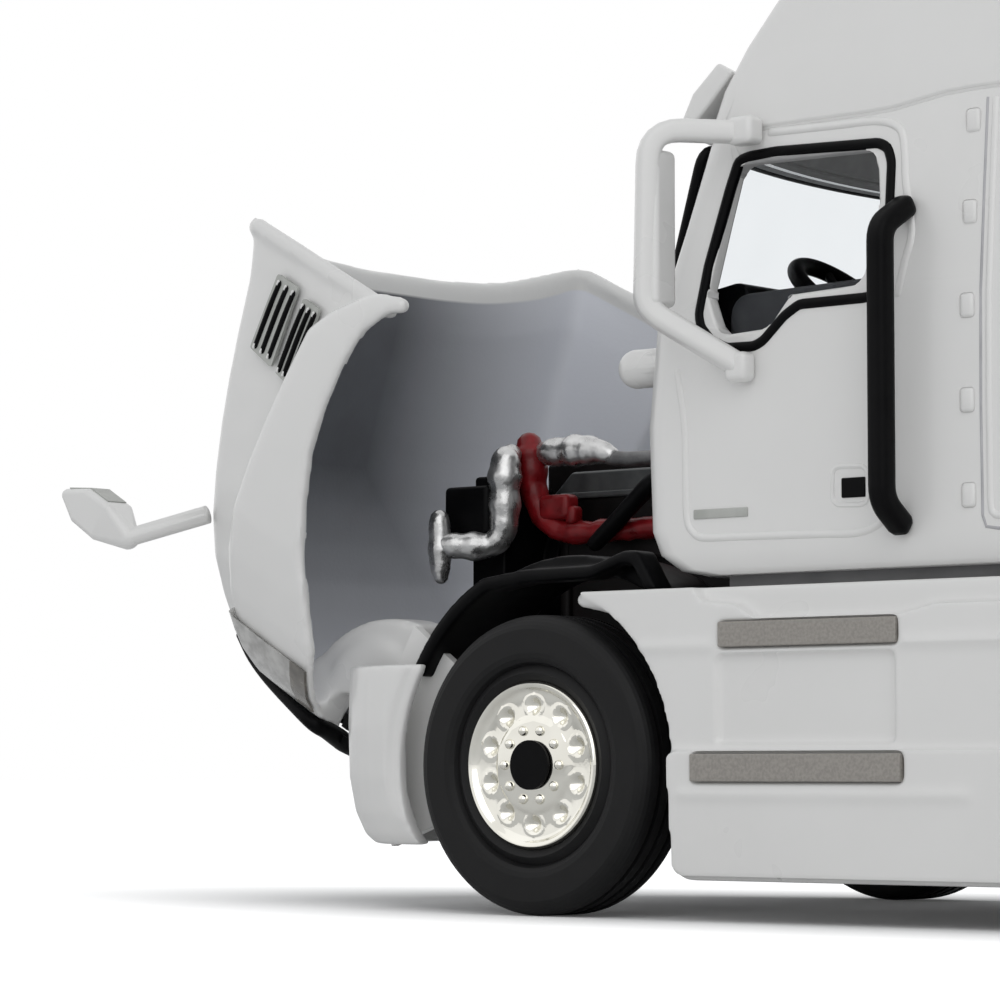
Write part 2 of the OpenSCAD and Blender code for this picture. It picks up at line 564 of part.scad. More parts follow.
// Hood stations, hood closed: [side x, middle x, crown z, shoulder y, shoulder z,
// crease y, crease z, fender y, lower edge z, reach of the lower edge behind side x]
hood_stations = [
    [-7, -3, 43.9, 20, 43.4, 20.8, 26.5, 22.9, 22.4, 1.4],
    [-6, -2.2, 43.4, 20, 42.9, 20.8, 27.8, 23.2, 23.6, 0.9],
    [-4.4, -0.9, 42.8, 19.9, 42.3, 20.8, 29.5, 23.5, 24.9, 0.4],
    [-2.6, 0.6, 42.3, 19.8, 41.7, 20.7, 30.7, 23.8, 25.2, 0],
    [1.5, 4.2, 41.5, 19.7, 40.9, 20.6, 30.9, 24, 25.2, 0],
    [5, 7.5, 40.8, 19.6, 40.1, 20.5, 31, 24.1, 24.7, 0],
    [8.6, 11, 40, 19.4, 39.2, 20.4, 31, 24.1, 23.3, 0],
    [12, 14.6, 39, 19.2, 38.1, 20.3, 30.8, 24, 21.6, 0],
    [15, 17.8, 37.9, 19, 36.9, 20.1, 30, 23.7, 19.6, 0],
    [17.6, 20.6, 36.7, 18.7, 35.4, 19.9, 28.8, 23.2, 18, 0],
    [19.8, 22.9, 35.2, 18.1, 33.6, 19.5, 27.5, 22.4, 17.9, 0],
    [21.6, 24.7, 33.8, 17.4, 32, 18.8, 26.2, 21.2, 17.9, 0],
    [23.1, 26, 32.3, 16.7, 30.4, 17.9, 25, 19.4, 17.9, 0],
    [24.1, 26.8, 31, 15.8, 29, 16.6, 23.9, 17, 17.9, 0]];
nose = hood_stations[13];
// Half section, lower edge to crown, set in by t
function hood_half(s, t) = let (ys = s[3] - t, zs = s[4] - t, yc = s[5] - t, zc = s[6] - t, yf = s[7] - t,
        zt = s[2] - t, r = shoulder_r - t, yr = ys - r)
    concat([[yf, s[8]], [yf + 0.1, (s[8] + zc - fender_r) / 2]],
        [for (a = [0:30:90]) [yc + (yf - yc) * cos(a), zc - fender_r + fender_r * sin(a)]],
        [[(yc + ys) / 2 + 0.1, (zc + zs - r) / 2]],
        arc([yr, zs - r], r, 5, 85, 4),
        [for (i = [2, 1, 0]) let (y = yr * i / 3) [y, zs + (zt - zs) * (1 - pow(y / yr, 2))]]);
function hood_x(s, y) = s[0] + (s[1] - s[0]) * max(0, 1 - pow(abs(y) / s[5], 3));
function hood_row(s, t) = let (h = hood_half(s, t), n = len(h),
        x = [for (i = [0:n - 1]) hood_x(s, h[i][0]) - s[9] * max(0, 1 - i / 5)])
    [each [for (i = [0:n - 1]) [x[i], h[i][0], h[i][1]]],
        each [for (i = [n - 2:-1:0]) [x[i], -h[i][0], h[i][1]]]];
module tilted() {
    translate([hinge_x, 0, hinge_z]) rotate([0, hood_open, 0]) translate([-hinge_x, 0, -hinge_z]) children();
}
// One-piece hood with its hinge lobes. The lobes are drawn as they stand at lobe_turn.
module hood() {
    lobe_turn = 60;
    lobe = concat(arc([-1.4, -3.6], 9.6, 44, 111, 12), [[-4.8, 0.6], [5, 0.6]]);
    boss = arc([0, 0], boss_r, 8, 172, 16);
    block = [[19.8, 15.6], [24, 16.5], [23.1, 18.9], [22.6, 19.3], [19.8, 18.2]];
    function at_hinge(pts) = [for (p = pts) turned(p, lobe_turn) + [hinge_x, hinge_z]];
    color("#f1efe9") tilted() difference() {
        union() {
            skin([for (s = hood_stations) hood_row(s, 0)], [for (s = hood_stations) hood_row(s, hood_wall)],
                false, false);
            both() prism_y(at_hinge(lobe), 14.6, 18.2);
            both() prism_y(at_hinge(boss), 18, 18.5);
            both() rod_y(hinge_x, hinge_z, 1.75, 14.6, 18.2);
            both() translate([0, 0, nose[8] + 0.2]) linear_extrude(3.5) polygon(block);
        }
        both() rod_y(hinge_x, hinge_z, pin_r + run_gap, 10, 20);
    }
}
// Strip across the nose, from d0 to d1 ahead of its edge, its top falling by drop towards the ends
module nose_strip(half, d0, d1, z0, z1, drop = 0) {
    n = 12;
    rows = [for (i = [0:n]) let (y = half * (2 * i / n - 1), x = hood_x(nose, y),
            top = z1 - drop * pow(y / half, 2))
        [[x + d0, y, z0], [x + d1, y, z0], [x + d1, y, top], [x + d0, y, top]]];
    polyhedron([for (r = rows, q = r) q],
        [for (k = [0:n - 1], i = [0:3]) let (a = k * 4, m = (i + 1) % 4)
            each [[a + i, a + m, a + 4 + m], [a + i, a + 4 + m, a + 4 + i]],
            [0, 2, 1], [0, 3, 2], [n * 4, n * 4 + 1, n * 4 + 2], [n * 4, n * 4 + 2, n * 4 + 3]], 6);
}
// Backing plate, bars and chin
module grille() {
    color("#161719") tilted() union() {
        nose_strip(14.5, -1.4, -0.9, 18, 29.8, 2.5);
        for (z = [19.8:1.5:27.3]) nose_strip(13.6, -1, -0.2, z, z + 0.6);
        nose_strip(13.9, -1.2, 0.3, 17.3, 18.5);
        nose_strip(16.8, 0.05, 0.7, 17.2, 18.6);
    }
}
// Station at any side x, read off the table
function hood_at(x) = [for (c = [0:9]) lookup(x, [for (s = hood_stations) [s[0], s[c]]])];
module headlamps() {
    function patch(t) = [for (x = [19.3, 20.4, 21.5, 22.6]) let (s = hood_at(x), h = hood_half(s, t))
        [for (i = [0:4]) [hood_x(s, h[i][0] + t) + 0.02, h[i][0], h[i][1]]]];
    color("#a9abad") tilted() both() skin(patch(-0.36), patch(-0.12), false, false);
}
// Louvre panels on the hood's sides: [back x, front x, lower z, upper z]
vent_panels = [[-4, 2.4, 34.1, 37], [-3.6, 2.8, 31.2, 33.5]];
module hood_vents() {
    slots = 3;
    vent_lean = 3.6;
    vent_turn = -1.5;
    corner = [vent_panels[0][0], 20.95, vent_panels[1][2]];
    color("#8f9093") tilted() both() translate(corner) rotate([vent_lean, 0, vent_turn])
        translate([0, 0, -corner[2]])
        for (v = vent_panels) difference() {
            x0 = v[0] - corner[0];
            x1 = v[1] - corner[0];
            prism_y(rounded([[x0, v[2] + 0.3, 0.2], [x1, v[2], 0.2], [x1 - 0.3, v[3], 0.2],
                [x0, v[3], 0.2]], 2), 0, 0.25);
            for (k = [0:slots - 1]) let (z = v[2] + 0.35 + (v[3] - v[2] - 0.2) * k / slots)
                prism_y(rounded([[x0 + 0.7, z, 0.2], [x1 - 0.8, z, 0.2], [x1 - 0.8, z + 0.5, 0.2],
                    [x0 + 0.7, z + 0.5, 0.2]], 2), -1, 1);
        }
}
module hood_mirrors() {
    elbow = [20, 21.8, 40.3];
    head = [mirror_tip, [18.7, 44.8], [18.7, 42.4], [20.8, 45.2], [20.9, 42.6]];
    color("#f1efe9") tilted() both() union() {
        rod([15.6, 19.15, 36], elbow, 0.7);
        hull() {
            translate(elbow) sphere(r = 0.9, $fn = 24);
            for (p = head, y = [20.9, 22.8]) translate([p[0], y, p[1]]) sphere(r = mirror_r, $fn = 16);
        }
    }
}

place() frame();
place() front_axle_beam();
place() rear_axle_housings();
place() hinge_bar();
place() bumper();
place() liners();
place() fairing_left();
place() fairing_right();
place() step_treads();
place() fuel_tanks();
place() deck_plate();
place() fifth_wheel();
place() mud_flaps();
place() tail_lamps();
place() engine_block();
place() rocker_cover();
place() radiator();
place() charge_pipes();
place() hoses();
place() cab_shell();
place() roof();
place() visor();
place() cab_floor();
place() interior();
place() seats();
place() dash();
place() steering_wheel();
place() window_insert();
place() window_seals();
place() door_mirrors();
place() grab_handles();
place() hood();
place() grille();
place() headlamps();
place() hood_vents();
place() hood_mirrors();
place() front_tyres();
place() front_rims();
place() front_axle();
place() rear_tyres(rear_1_x);  // rear_1_tyres
place() rear_rims(rear_1_x);  // rear_1_rims
place() rear_axle(rear_1_x);  // rear_1_axle
place() rear_tyres(rear_2_x);  // rear_2_tyres
place() rear_rims(rear_2_x);  // rear_2_rims
place() rear_axle(rear_2_x);  // rear_2_axle
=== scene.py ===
import math

import bmesh
import bpy
from mathutils import Matrix, Vector, noise
from mathutils.bvhtree import BVHTree


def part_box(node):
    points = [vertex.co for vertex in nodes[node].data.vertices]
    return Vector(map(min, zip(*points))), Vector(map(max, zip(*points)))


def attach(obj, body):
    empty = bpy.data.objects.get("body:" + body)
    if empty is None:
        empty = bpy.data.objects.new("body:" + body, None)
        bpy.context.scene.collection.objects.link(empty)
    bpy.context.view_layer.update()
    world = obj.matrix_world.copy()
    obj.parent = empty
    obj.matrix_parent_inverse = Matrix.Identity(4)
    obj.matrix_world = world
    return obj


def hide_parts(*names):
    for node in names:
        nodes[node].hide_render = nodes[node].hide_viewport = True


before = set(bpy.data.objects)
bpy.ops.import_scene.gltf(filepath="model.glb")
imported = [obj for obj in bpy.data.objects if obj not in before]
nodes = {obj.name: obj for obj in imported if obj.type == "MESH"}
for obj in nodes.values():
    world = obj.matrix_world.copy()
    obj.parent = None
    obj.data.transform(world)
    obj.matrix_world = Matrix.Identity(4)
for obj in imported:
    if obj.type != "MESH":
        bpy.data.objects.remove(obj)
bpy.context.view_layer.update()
mm = 0.001
tyreLow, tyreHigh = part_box("front_tyres")
axleX = (tyreLow.x + tyreHigh.x) / 2  # the front axle is zero along the truck
bpy.context.scene.view_settings.view_transform = "Standard"
print("frame loaded with", len(nodes), "nodes")


def spot(x, y, z):
    return Vector((axleX + x * mm, y * mm, z * mm))


# hood hinge and the angle at which the hood stands open
hinge = {"x": 20, "z": 15, "open": 60}
toHinge = Matrix.Translation(spot(hinge["x"], 0, hinge["z"]))
hoodTilt = toHinge @ Matrix.Rotation(math.radians(hinge["open"]), 4, "Y") @ toHinge.inverted()


def hoodSpot(x, y, z):  # a point named as on the closed hood
    return hoodTilt @ spot(x, y, z)


backToClosed = hoodTilt.inverted()

# the closed hood's rear edge: x at its ends, how far its middle bows ahead, half its width, power of the bow
rearEdge = {"at": -7, "bow": 4, "half": 20.8, "power": 3}

# finishes: two tones, size of the mottling in mm, roughness range, bump and size of its grain, then extras
looks = {
    "whitePaint": {"dark": (0.788, 0.785, 0.775), "light": (0.804, 0.801, 0.791), "patch": 9,
                   "rough": (0.26, 0.36), "coat": 0.25, "bump": 0.03, "pit": 0.35},
    # inside of the hood: white paint given painted shade as a dark blue-grey, with painted light towards the
    # far side and the bottom; the rim is the white paint along the rear edge
    "hoodInsidePaintedShade": {"dark": (0.085, 0.091, 0.104), "light": (0.108, 0.116, 0.132), "patch": 5,
                   "rough": (0.42, 0.55), "bump": 0.12, "pit": 0.3,
                   "paintedLight": {"Y": (1, -20), "Z": (34, 13), "tone": (0.84, 0.86, 0.92)},
                   "rim": {"from": 1.05, "to": 1.25, "tone": (0.79, 0.79, 0.78)}},
    "cabinLining": {"dark": (0.035, 0.036, 0.04), "light": (0.055, 0.056, 0.06), "patch": 3,
                    "rough": (0.5, 0.65), "bump": 0.08, "pit": 0.3, "spec": 0.3},
    # inside faces of the cab and roof: grey, with a faint painted glow that lightens them in their shade
    "insideGreyPaintedGlow": {"dark": (0.28, 0.28, 0.285), "light": (0.36, 0.36, 0.365), "patch": 2,
                  "rough": (0.55, 0.7), "bump": 0.1, "pit": 0.3, "spec": 0.2, "glow": 0.05},
    "blackPlastic": {"dark": (0.0016, 0.0016, 0.002), "light": (0.0035, 0.0035, 0.004), "patch": 3,
                     "rough": (0.36, 0.48), "bump": 0.06, "pit": 0.3, "spec": 0.07},
    "rubber": {"dark": (0.006, 0.006, 0.0065), "light": (0.01, 0.01, 0.0105), "patch": 4,
               "rough": (0.5, 0.62), "bump": 0.06, "pit": 0.25, "spec": 0.2},
    "greyPlastic": {"dark": (0.16, 0.16, 0.165), "light": (0.22, 0.22, 0.225), "patch": 4,
                    "rough": (0.4, 0.55), "bump": 0.06, "pit": 0.3},
    "coverGrey": {"dark": (0.05, 0.054, 0.056), "light": (0.085, 0.092, 0.094), "patch": 2,
                  "rough": (0.3, 0.45), "bump": 0.08, "pit": 0.3},
    "hoseGrey": {"dark": (0.09, 0.09, 0.092), "light": (0.16, 0.16, 0.165), "patch": 1,
                 "rough": (0.3, 0.4), "metal": 0.5, "bump": 0.3, "pit": 0.5},
    "seamGrey": {"dark": (0.4, 0.4, 0.42), "light": (0.5, 0.5, 0.52), "patch": 2,
                 "rough": (0.4, 0.55), "bump": 0.05, "pit": 0.3},
    "stepGrey": {"dark": (0.27, 0.255, 0.235), "light": (0.35, 0.33, 0.305), "patch": 0.22,
                 "rough": (0.45, 0.6), "metal": 0.3, "bump": 0.12, "pit": 0.2},
    "chrome": {"dark": (0.76, 0.745, 0.68), "light": (0.84, 0.825, 0.76), "patch": 3,
               "rough": (0.06, 0.12), "metal": 1, "bump": 0.02, "pit": 0.4},
    "silverPaint": {"dark": (0.4, 0.4, 0.4), "light": (0.62, 0.62, 0.62), "patch": 1.2,
                    "rough": (0.2, 0.38), "metal": 0.9, "bump": 0.45, "pit": 0.55},
    "ventSilver": {"dark": (0.36, 0.37, 0.35), "light": (0.46, 0.47, 0.45), "patch": 2,
                   "rough": (0.35, 0.5), "metal": 0.4, "bump": 0.04, "pit": 0.3},
    "engineRed": {"dark": (0.13, 0.004, 0.006), "light": (0.25, 0.009, 0.013), "patch": 1.5,
                  "rough": (0.25, 0.4), "coat": 0.08, "bump": 0.4, "pit": 0.8, "spec": 0.22},
    "engineDark": {"dark": (0.003, 0.003, 0.003), "light": (0.008, 0.006, 0.006), "patch": 2,
                   "rough": (0.45, 0.6), "bump": 0.15, "pit": 0.4, "spec": 0.16},
    "steel": {"dark": (0.32, 0.32, 0.33), "light": (0.45, 0.45, 0.46), "patch": 2,
              "rough": (0.3, 0.45), "metal": 1, "bump": 0.05, "pit": 0.3},
    "redLens": {"dark": (0.32, 0.01, 0.012), "light": (0.45, 0.018, 0.02), "patch": 1,
                "rough": (0.12, 0.2), "coat": 0.5, "bump": 0.03, "pit": 0.3},
    "lampLens": {"dark": (0.36, 0.355, 0.345), "light": (0.6, 0.595, 0.58), "patch": 1.1,
                 "rough": (0.15, 0.28), "metal": 0.4, "coat": 0.5, "bump": 0.1, "pit": 0.5},
    "lampBand": {"dark": (0.1, 0.092, 0.08), "light": (0.2, 0.185, 0.165), "patch": 1.4,
                 "rough": (0.2, 0.3), "coat": 0.4, "bump": 0.06, "pit": 0.4},
}


def sumOf(tree, kind, a, b=None, clamp=False):  # one sum in a material, from sockets or plain values
    node = tree.nodes.new("ShaderNodeMath")
    node.operation, node.use_clamp = kind, clamp
    for i, value in enumerate((a, b)):
        if isinstance(value, (int, float)):
            node.inputs[i].default_value = value
        elif value is not None:
            tree.links.new(value, node.inputs[i])
    return node.outputs["Value"]


def addRim(tree, place, colour, rim):  # paint on the inside of the hood's rear edge
    closed = tree.nodes.new("ShaderNodeVectorMath")
    closed.operation = "DOT_PRODUCT"
    closed.inputs[1].default_value = backToClosed[0][:3]
    tree.links.new(place, closed.inputs[0])
    parts = tree.nodes.new("ShaderNodeSeparateXYZ")
    tree.links.new(place, parts.inputs["Vector"])
    across = sumOf(tree, "ABSOLUTE", sumOf(tree, "DIVIDE", parts.outputs["Y"], rearEdge["half"] * mm))
    bow = sumOf(tree, "SUBTRACT", 1.0, sumOf(tree, "POWER", across, rearEdge["power"]), True)
    bow = sumOf(tree, "MULTIPLY", bow, rearEdge["bow"] * mm)
    ahead = sumOf(tree, "ADD", closed.outputs["Value"], backToClosed[0][3] - axleX - rearEdge["at"] * mm)
    ahead = sumOf(tree, "SUBTRACT", ahead, bow)
    width = (rim["to"] - rim["from"]) * mm
    inner = sumOf(tree, "DIVIDE", sumOf(tree, "SUBTRACT", ahead, rim["from"] * mm), width, True)
    both = tree.nodes.new("ShaderNodeMixRGB")
    both.inputs["Color1"].default_value = (*rim["tone"], 1)
    tree.links.new(inner, both.inputs["Fac"])
    tree.links.new(colour, both.inputs["Color2"])
    return both.outputs["Color"]


# shared by all finishes: ends of the tone ramp and of the gloss range in the noise, bump depth in mm
texture = {"tones": (0.28, 0.72), "gloss": (0.3, 0.7), "detail": 3, "depth": 0.1, "coatRough": 0.12}


def makeFinish(name, look):
    mat = bpy.data.materials.new(name)
    mat.use_nodes = True
    tree = mat.node_tree
    shader = tree.nodes["Principled BSDF"]
    place = tree.nodes.new("ShaderNodeTexCoord")
    mottle = tree.nodes.new("ShaderNodeTexNoise")
    mottle.inputs["Scale"].default_value = 1 / (look["patch"] * mm)
    mottle.inputs["Detail"].default_value = texture["detail"]
    tree.links.new(place.outputs["Object"], mottle.inputs["Vector"])
    tone = tree.nodes.new("ShaderNodeValToRGB")
    tone.color_ramp.interpolation = "EASE"
    for stop, at, shade in zip(tone.color_ramp.elements, texture["tones"], (look["dark"], look["light"])):
        stop.position = at
        stop.color = (*shade, 1)
    tree.links.new(mottle.outputs["Fac"], tone.inputs["Fac"])
    colour = tone.outputs["Color"]
    if "paintedLight" in look:  # painted light: a lighter tone across the piece, towards the far side and the bottom
        paintedLight = look["paintedLight"]
        parts = tree.nodes.new("ShaderNodeSeparateXYZ")
        tree.links.new(place.outputs["Object"], parts.inputs["Vector"])
        most = tree.nodes.new("ShaderNodeMath")
        most.operation = "MAXIMUM"
        for i, axis in enumerate(("Y", "Z")):
            across = tree.nodes.new("ShaderNodeMapRange")
            across.inputs["From Min"].default_value = paintedLight[axis][0] * mm
            across.inputs["From Max"].default_value = paintedLight[axis][1] * mm
            tree.links.new(parts.outputs[axis], across.inputs["Value"])
            tree.links.new(across.outputs["Result"], most.inputs[i])
        both = tree.nodes.new("ShaderNodeMixRGB")
        both.inputs["Color2"].default_value = (*paintedLight["tone"], 1)
        tree.links.new(most.outputs["Value"], both.inputs["Fac"])
        tree.links.new(colour, both.inputs["Color1"])
        colour = both.outputs["Color"]
    if "rim" in look:
        colour = addRim(tree, place.outputs["Object"], colour, look["rim"])
    tree.links.new(colour, shader.inputs["Base Color"])
    gloss = tree.nodes.new("ShaderNodeMapRange")
    gloss.inputs["From Min"].default_value, gloss.inputs["From Max"].default_value = texture["gloss"]
    gloss.inputs["To Min"].default_value, gloss.inputs["To Max"].default_value = look["rough"]
    tree.links.new(mottle.outputs["Fac"], gloss.inputs["Value"])
    tree.links.new(gloss.outputs["Result"], shader.inputs["Roughness"])
    grain = tree.nodes.new("ShaderNodeTexNoise")
    grain.inputs["Scale"].default_value = 1 / (look["pit"] * mm)
    tree.links.new(place.outputs["Object"], grain.inputs["Vector"])
    bump = tree.nodes.new("ShaderNodeBump")
    bump.inputs["Strength"].default_value = look["bump"]
    bump.inputs["Distance"].default_value = texture["depth"] * mm
    tree.links.new(grain.outputs["Fac"], bump.inputs["Height"])
    tree.links.new(bump.outputs["Normal"], shader.inputs["Normal"])
    shader.inputs["Emission Color"].default_value = (1, 1, 1, 1)
    shader.inputs["Emission Strength"].default_value = look.get("glow", 0)
    shader.inputs["Metallic"].default_value = look.get("metal", 0)
    shader.inputs["Specular IOR Level"].default_value = look.get("spec", 0.5)
    shader.inputs["Coat Weight"].default_value = look.get("coat", 0)
    shader.inputs["Coat Roughness"].default_value = texture["coatRough"]
    return mat


finishes = {name: makeFinish(name, look) for name, look in looks.items()}


# thin clear insert with a faint cloudiness
clear = {"dark": (0.9, 0.915, 0.925), "light": (0.93, 0.945, 0.955), "patch": 12, "rough": (0.01, 0.03),
         "bump": 0.005, "pit": 2, "ior": 1.02}
finishes["clearInsert"] = makeFinish("clearInsert", clear)
shader = finishes["clearInsert"].node_tree.nodes["Principled BSDF"]
shader.inputs["Transmission Weight"].default_value = 1
shader.inputs["IOR"].default_value = clear["ior"]
print("finishes made:", len(finishes))


mergeGap = 0.002  # points nearer than this, in mm, are one point


def nodeCopy(name):  # merged copy of a CAD node's mesh
    bm = bmesh.new()
    bm.from_mesh(nodes[name].data)
    bmesh.ops.remove_doubles(bm, verts=bm.verts, dist=mergeGap * mm)
    return bm


def softenEdges(bm, width, angle, segments=3):
    sharp = [e for e in bm.edges if len(e.link_faces) == 2 and e.calc_length() > 2 * width * mm
             and e.calc_face_angle(0) > math.radians(angle)]
    bmesh.ops.bevel(bm, geom=sharp, offset=width * mm, offset_type="OFFSET", affect="EDGES",
                    segments=segments, profile=0.5, material=-1, clamp_overlap=False)


def roundCorner(bm, place, width, reach=0.7, angle=30, across=0.8):  # rounds the cross edges at a tip
    tip = [e for e in bm.edges if len(e.link_faces) == 2 and e.calc_face_angle(0) > math.radians(angle)
           and abs((e.verts[0].co - e.verts[1].co).normalized().y) > across
           and ((e.verts[0].co + e.verts[1].co) / 2 - place).length < reach * mm]
    bmesh.ops.bevel(bm, geom=tip, offset=width * mm, offset_type="OFFSET", affect="EDGES",
                    segments=5, profile=0.5, material=-1, clamp_overlap=False)
    print("corner rounded on edges:", len(tip))


def makePiece(name, bm, finish, body, replaced=(), sharpAngle=40, even=True):
    mesh = bpy.data.meshes.new(name)
    bm.to_mesh(mesh)
    bm.free()
    for f in mesh.polygons:
        f.use_smooth = True
    mesh.set_sharp_from_angle(angle=math.radians(sharpAngle))
    for one in [finish] if isinstance(finish, str) else finish:
        mesh.materials.append(finishes[one])
    piece = bpy.data.objects.new(name, mesh)
    bpy.context.scene.collection.objects.link(piece)
    if even:  # flat faces stay flat beside the soft edges
        weigh = piece.modifiers.new("even", "WEIGHTED_NORMAL")
        weigh.keep_sharp = True
    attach(piece, body)
    if replaced:
        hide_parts(*replaced)
    return piece


# castings that get soft edges: node, piece, width of the soft edge in mm, finish, body, slot
castings = [
    ("visor", "visorBlade", 0.25, "whitePaint", "truck", "white_paint"),
    ("hood_mirrors", "hoodMirrors", 0, "whitePaint", "hood_body", "white_paint"),
    ("step_treads", "stepTreads", 0.08, "stepGrey", "truck", "silver"),
    ("radiator", "radiatorBlock", 0.2, "blackPlastic", "truck", "black_plastic"),
    ("dash", "dashMoulding", 0.2, "blackPlastic", "truck", "grey_plastic"),
    ("interior", "cabinTrim", 0.2, "cabinLining", "truck", "grey_plastic"),
    ("seats", "cabSeats", 0.4, "cabinLining", "truck", "grey_plastic"),
    ("fifth_wheel", "couplingPlate", 0.12, "blackPlastic", "truck", "black_plastic"),
    ("deck_plate", "deckPlate", 0.1, "steel", "truck", "silver"),
]
sharpFrom = 50  # edges sharper than this, in degrees, get soft
for node, name, width, finish, body, slot in castings:
    bm = nodeCopy(node)
    if width:
        softenEdges(bm, width, sharpFrom)
    makePiece(name, bm, finish, body, [node])
print("castings softened:", len(castings))

# castings lined on the inside: piece, width of the soft edge, height from which down-facing faces are lined
twoSided = {
    "cab_shell": {"name": "cabCasting", "width": 0.25, "linedFrom": 49},
    "roof": {"name": "roofCasting", "width": 0.3},
}
lining = {"core": (0, 0, 38), "inward": -0.25, "down": -0.15}


def insideFace(face, middle, along):  # true where the face looks towards the line through middle
    out = face.calc_center_median() - middle
    out -= along * out.dot(along)
    return face.normal.dot(out.normalized()) < lining["inward"]


for node, spec in twoSided.items():
    bm = nodeCopy(node)
    softenEdges(bm, spec["width"], sharpFrom)
    for face in bm.faces:
        high = face.calc_center_median().z > spec.get("linedFrom", math.inf) * mm
        underTop = high and face.normal.z < lining["down"]
        inside = insideFace(face, spot(*lining["core"]), Vector((1, 0, 0)))
        face.material_index = 1 if underTop or inside else 0
    makePiece(spec["name"], bm, ["whitePaint", "insideGreyPaintedGlow"], "truck", [node])
print("cab and roof dressed")


def recast(bm, voxel, rounds):  # joins all shells in bm into one casting with soft edges
    mesh = bpy.data.meshes.new("rough")
    bm.to_mesh(mesh)
    bm.free()
    rough = bpy.data.objects.new("rough", mesh)
    bpy.context.scene.collection.objects.link(rough)
    pour = rough.modifiers.new("pour", "REMESH")
    pour.mode = "VOXEL"
    pour.voxel_size = voxel * mm
    poured = rough.evaluated_get(bpy.context.evaluated_depsgraph_get())
    fine = bmesh.new()
    fine.from_mesh(poured.to_mesh())
    poured.to_mesh_clear()
    bpy.data.objects.remove(rough)
    bpy.data.meshes.remove(mesh)
    for k in range(rounds):
        bmesh.ops.smooth_vert(fine, verts=fine.verts, factor=0.5,
                              use_axis_x=True, use_axis_y=True, use_axis_z=True)
    return fine


# CAD nodes that stay as they are and only get a finish
dressed = {
    "blackPlastic": ["frame", "front_axle_beam", "rear_axle_housings", "hinge_bar", "mud_flaps",
                     "steering_wheel", "grille", "front_axle", "rear_1_axle", "rear_2_axle"],
    "greyPlastic": ["cab_floor"],
    "rubber": ["front_tyres", "rear_1_tyres", "rear_2_tyres"],
    "chrome": ["rear_1_rims", "rear_2_rims"],
    "silverPaint": ["fuel_tanks"],
    "ventSilver": ["hood_vents"],
    "redLens": ["tail_lamps"],
    "clearInsert": ["window_insert"],
}
for finish, names in dressed.items():
    for name in names:
        mesh = nodes[name].data
        mesh.materials.clear()
        mesh.materials.append(finishes[finish])
print("nodes dressed:", sum(len(v) for v in dressed.values()))

# shared shapes, all sizes in mm
bendShare = 0.49  # the most of a straight stretch that one bend takes up
domeAngles = (30, 60, 84)  # rings of a rounded end, in degrees


def bentPath(points, radius, steps=6):  # line through points with its corners rounded
    points = [Vector(p) for p in points]
    path = [points[0]]
    for before, here, after in zip(points, points[1:], points[2:]):
        u, v = before - here, after - here
        reach = min(radius, u.length * bendShare, v.length * bendShare)
        a, b = here + u.normalized() * reach, here + v.normalized() * reach
        for k in range(steps + 1):
            t = k / steps
            path.append(a * (1 - t) ** 2 + here * 2 * t * (1 - t) + b * t ** 2)
    path.append(points[-1])
    return path


def smoothPath(points, steps=6):  # curve through every point, rows may carry a radius
    rows = [Vector(p) for p in points]
    ends = [rows[0] * 2 - rows[1]] + rows + [rows[-1] * 2 - rows[-2]]
    path = []
    for a, b, c, d in zip(ends, ends[1:], ends[2:], ends[3:]):
        for k in range(steps):
            t = k / steps
            path.append((b * 2 + (c - a) * t + (a * 2 - b * 5 + c * 4 - d) * t ** 2
                         + (b * 3 - a - c * 3 + d) * t ** 3) / 2)
    path.append(rows[-1])
    return path


def tube(bm, path, radii, closed=False, sides=12, dome=False, square=0, start=None):  # path in metres
    count = len(path)
    radii = list(radii) if isinstance(radii, (list, tuple)) else [radii] * count
    path = list(path)
    if dome:  # rounded ends
        for end, step in ((0, 1), (-1, -2)):
            tip, r = path[end], radii[end]
            out = (tip - path[step]).normalized()
            for angle in domeAngles:
                a = math.radians(angle)
                where = 0 if end == 0 else len(path)
                path.insert(where, tip + out * r * mm * math.sin(a))
                radii.insert(where, r * math.cos(a))
        count = len(path)
    loops, side = [], start
    for i, p in enumerate(path):
        ahead = path[(i + 1) % count] if closed or i < count - 1 else p
        behind = path[i - 1] if closed or i > 0 else p
        along = (ahead - behind).normalized()
        side = along.orthogonal() if side is None else side - along * side.dot(along)
        side = side.normalized()
        up = along.cross(side)
        turn = Matrix((side, up, along)).transposed().to_4x4()
        size = Matrix.Diagonal((radii[i] * mm, radii[i] * mm, 1, 1))
        here = Matrix.Translation(p) @ turn @ size
        ring = bmesh.ops.create_circle(bm, segments=sides, radius=1, matrix=here)
        if square:  # rounded-square section
            for v in ring["verts"]:
                out = (v.co - p).normalized()
                reach = abs(out.dot(side)) ** square + abs(out.dot(up)) ** square
                v.co = p + (v.co - p) * reach ** (-1 / square)
        loops.append(list({e for v in ring["verts"] for e in v.link_edges}))
    pairs = list(zip(loops, loops[1:] + loops[:1])) if closed else list(zip(loops, loops[1:]))
    for a, b in pairs:
        bmesh.ops.bridge_loops(bm, edges=a + b)
    if not closed:
        for loop in (loops[0], loops[-1]):
            bmesh.ops.edgeloop_fill(bm, edges=loop)


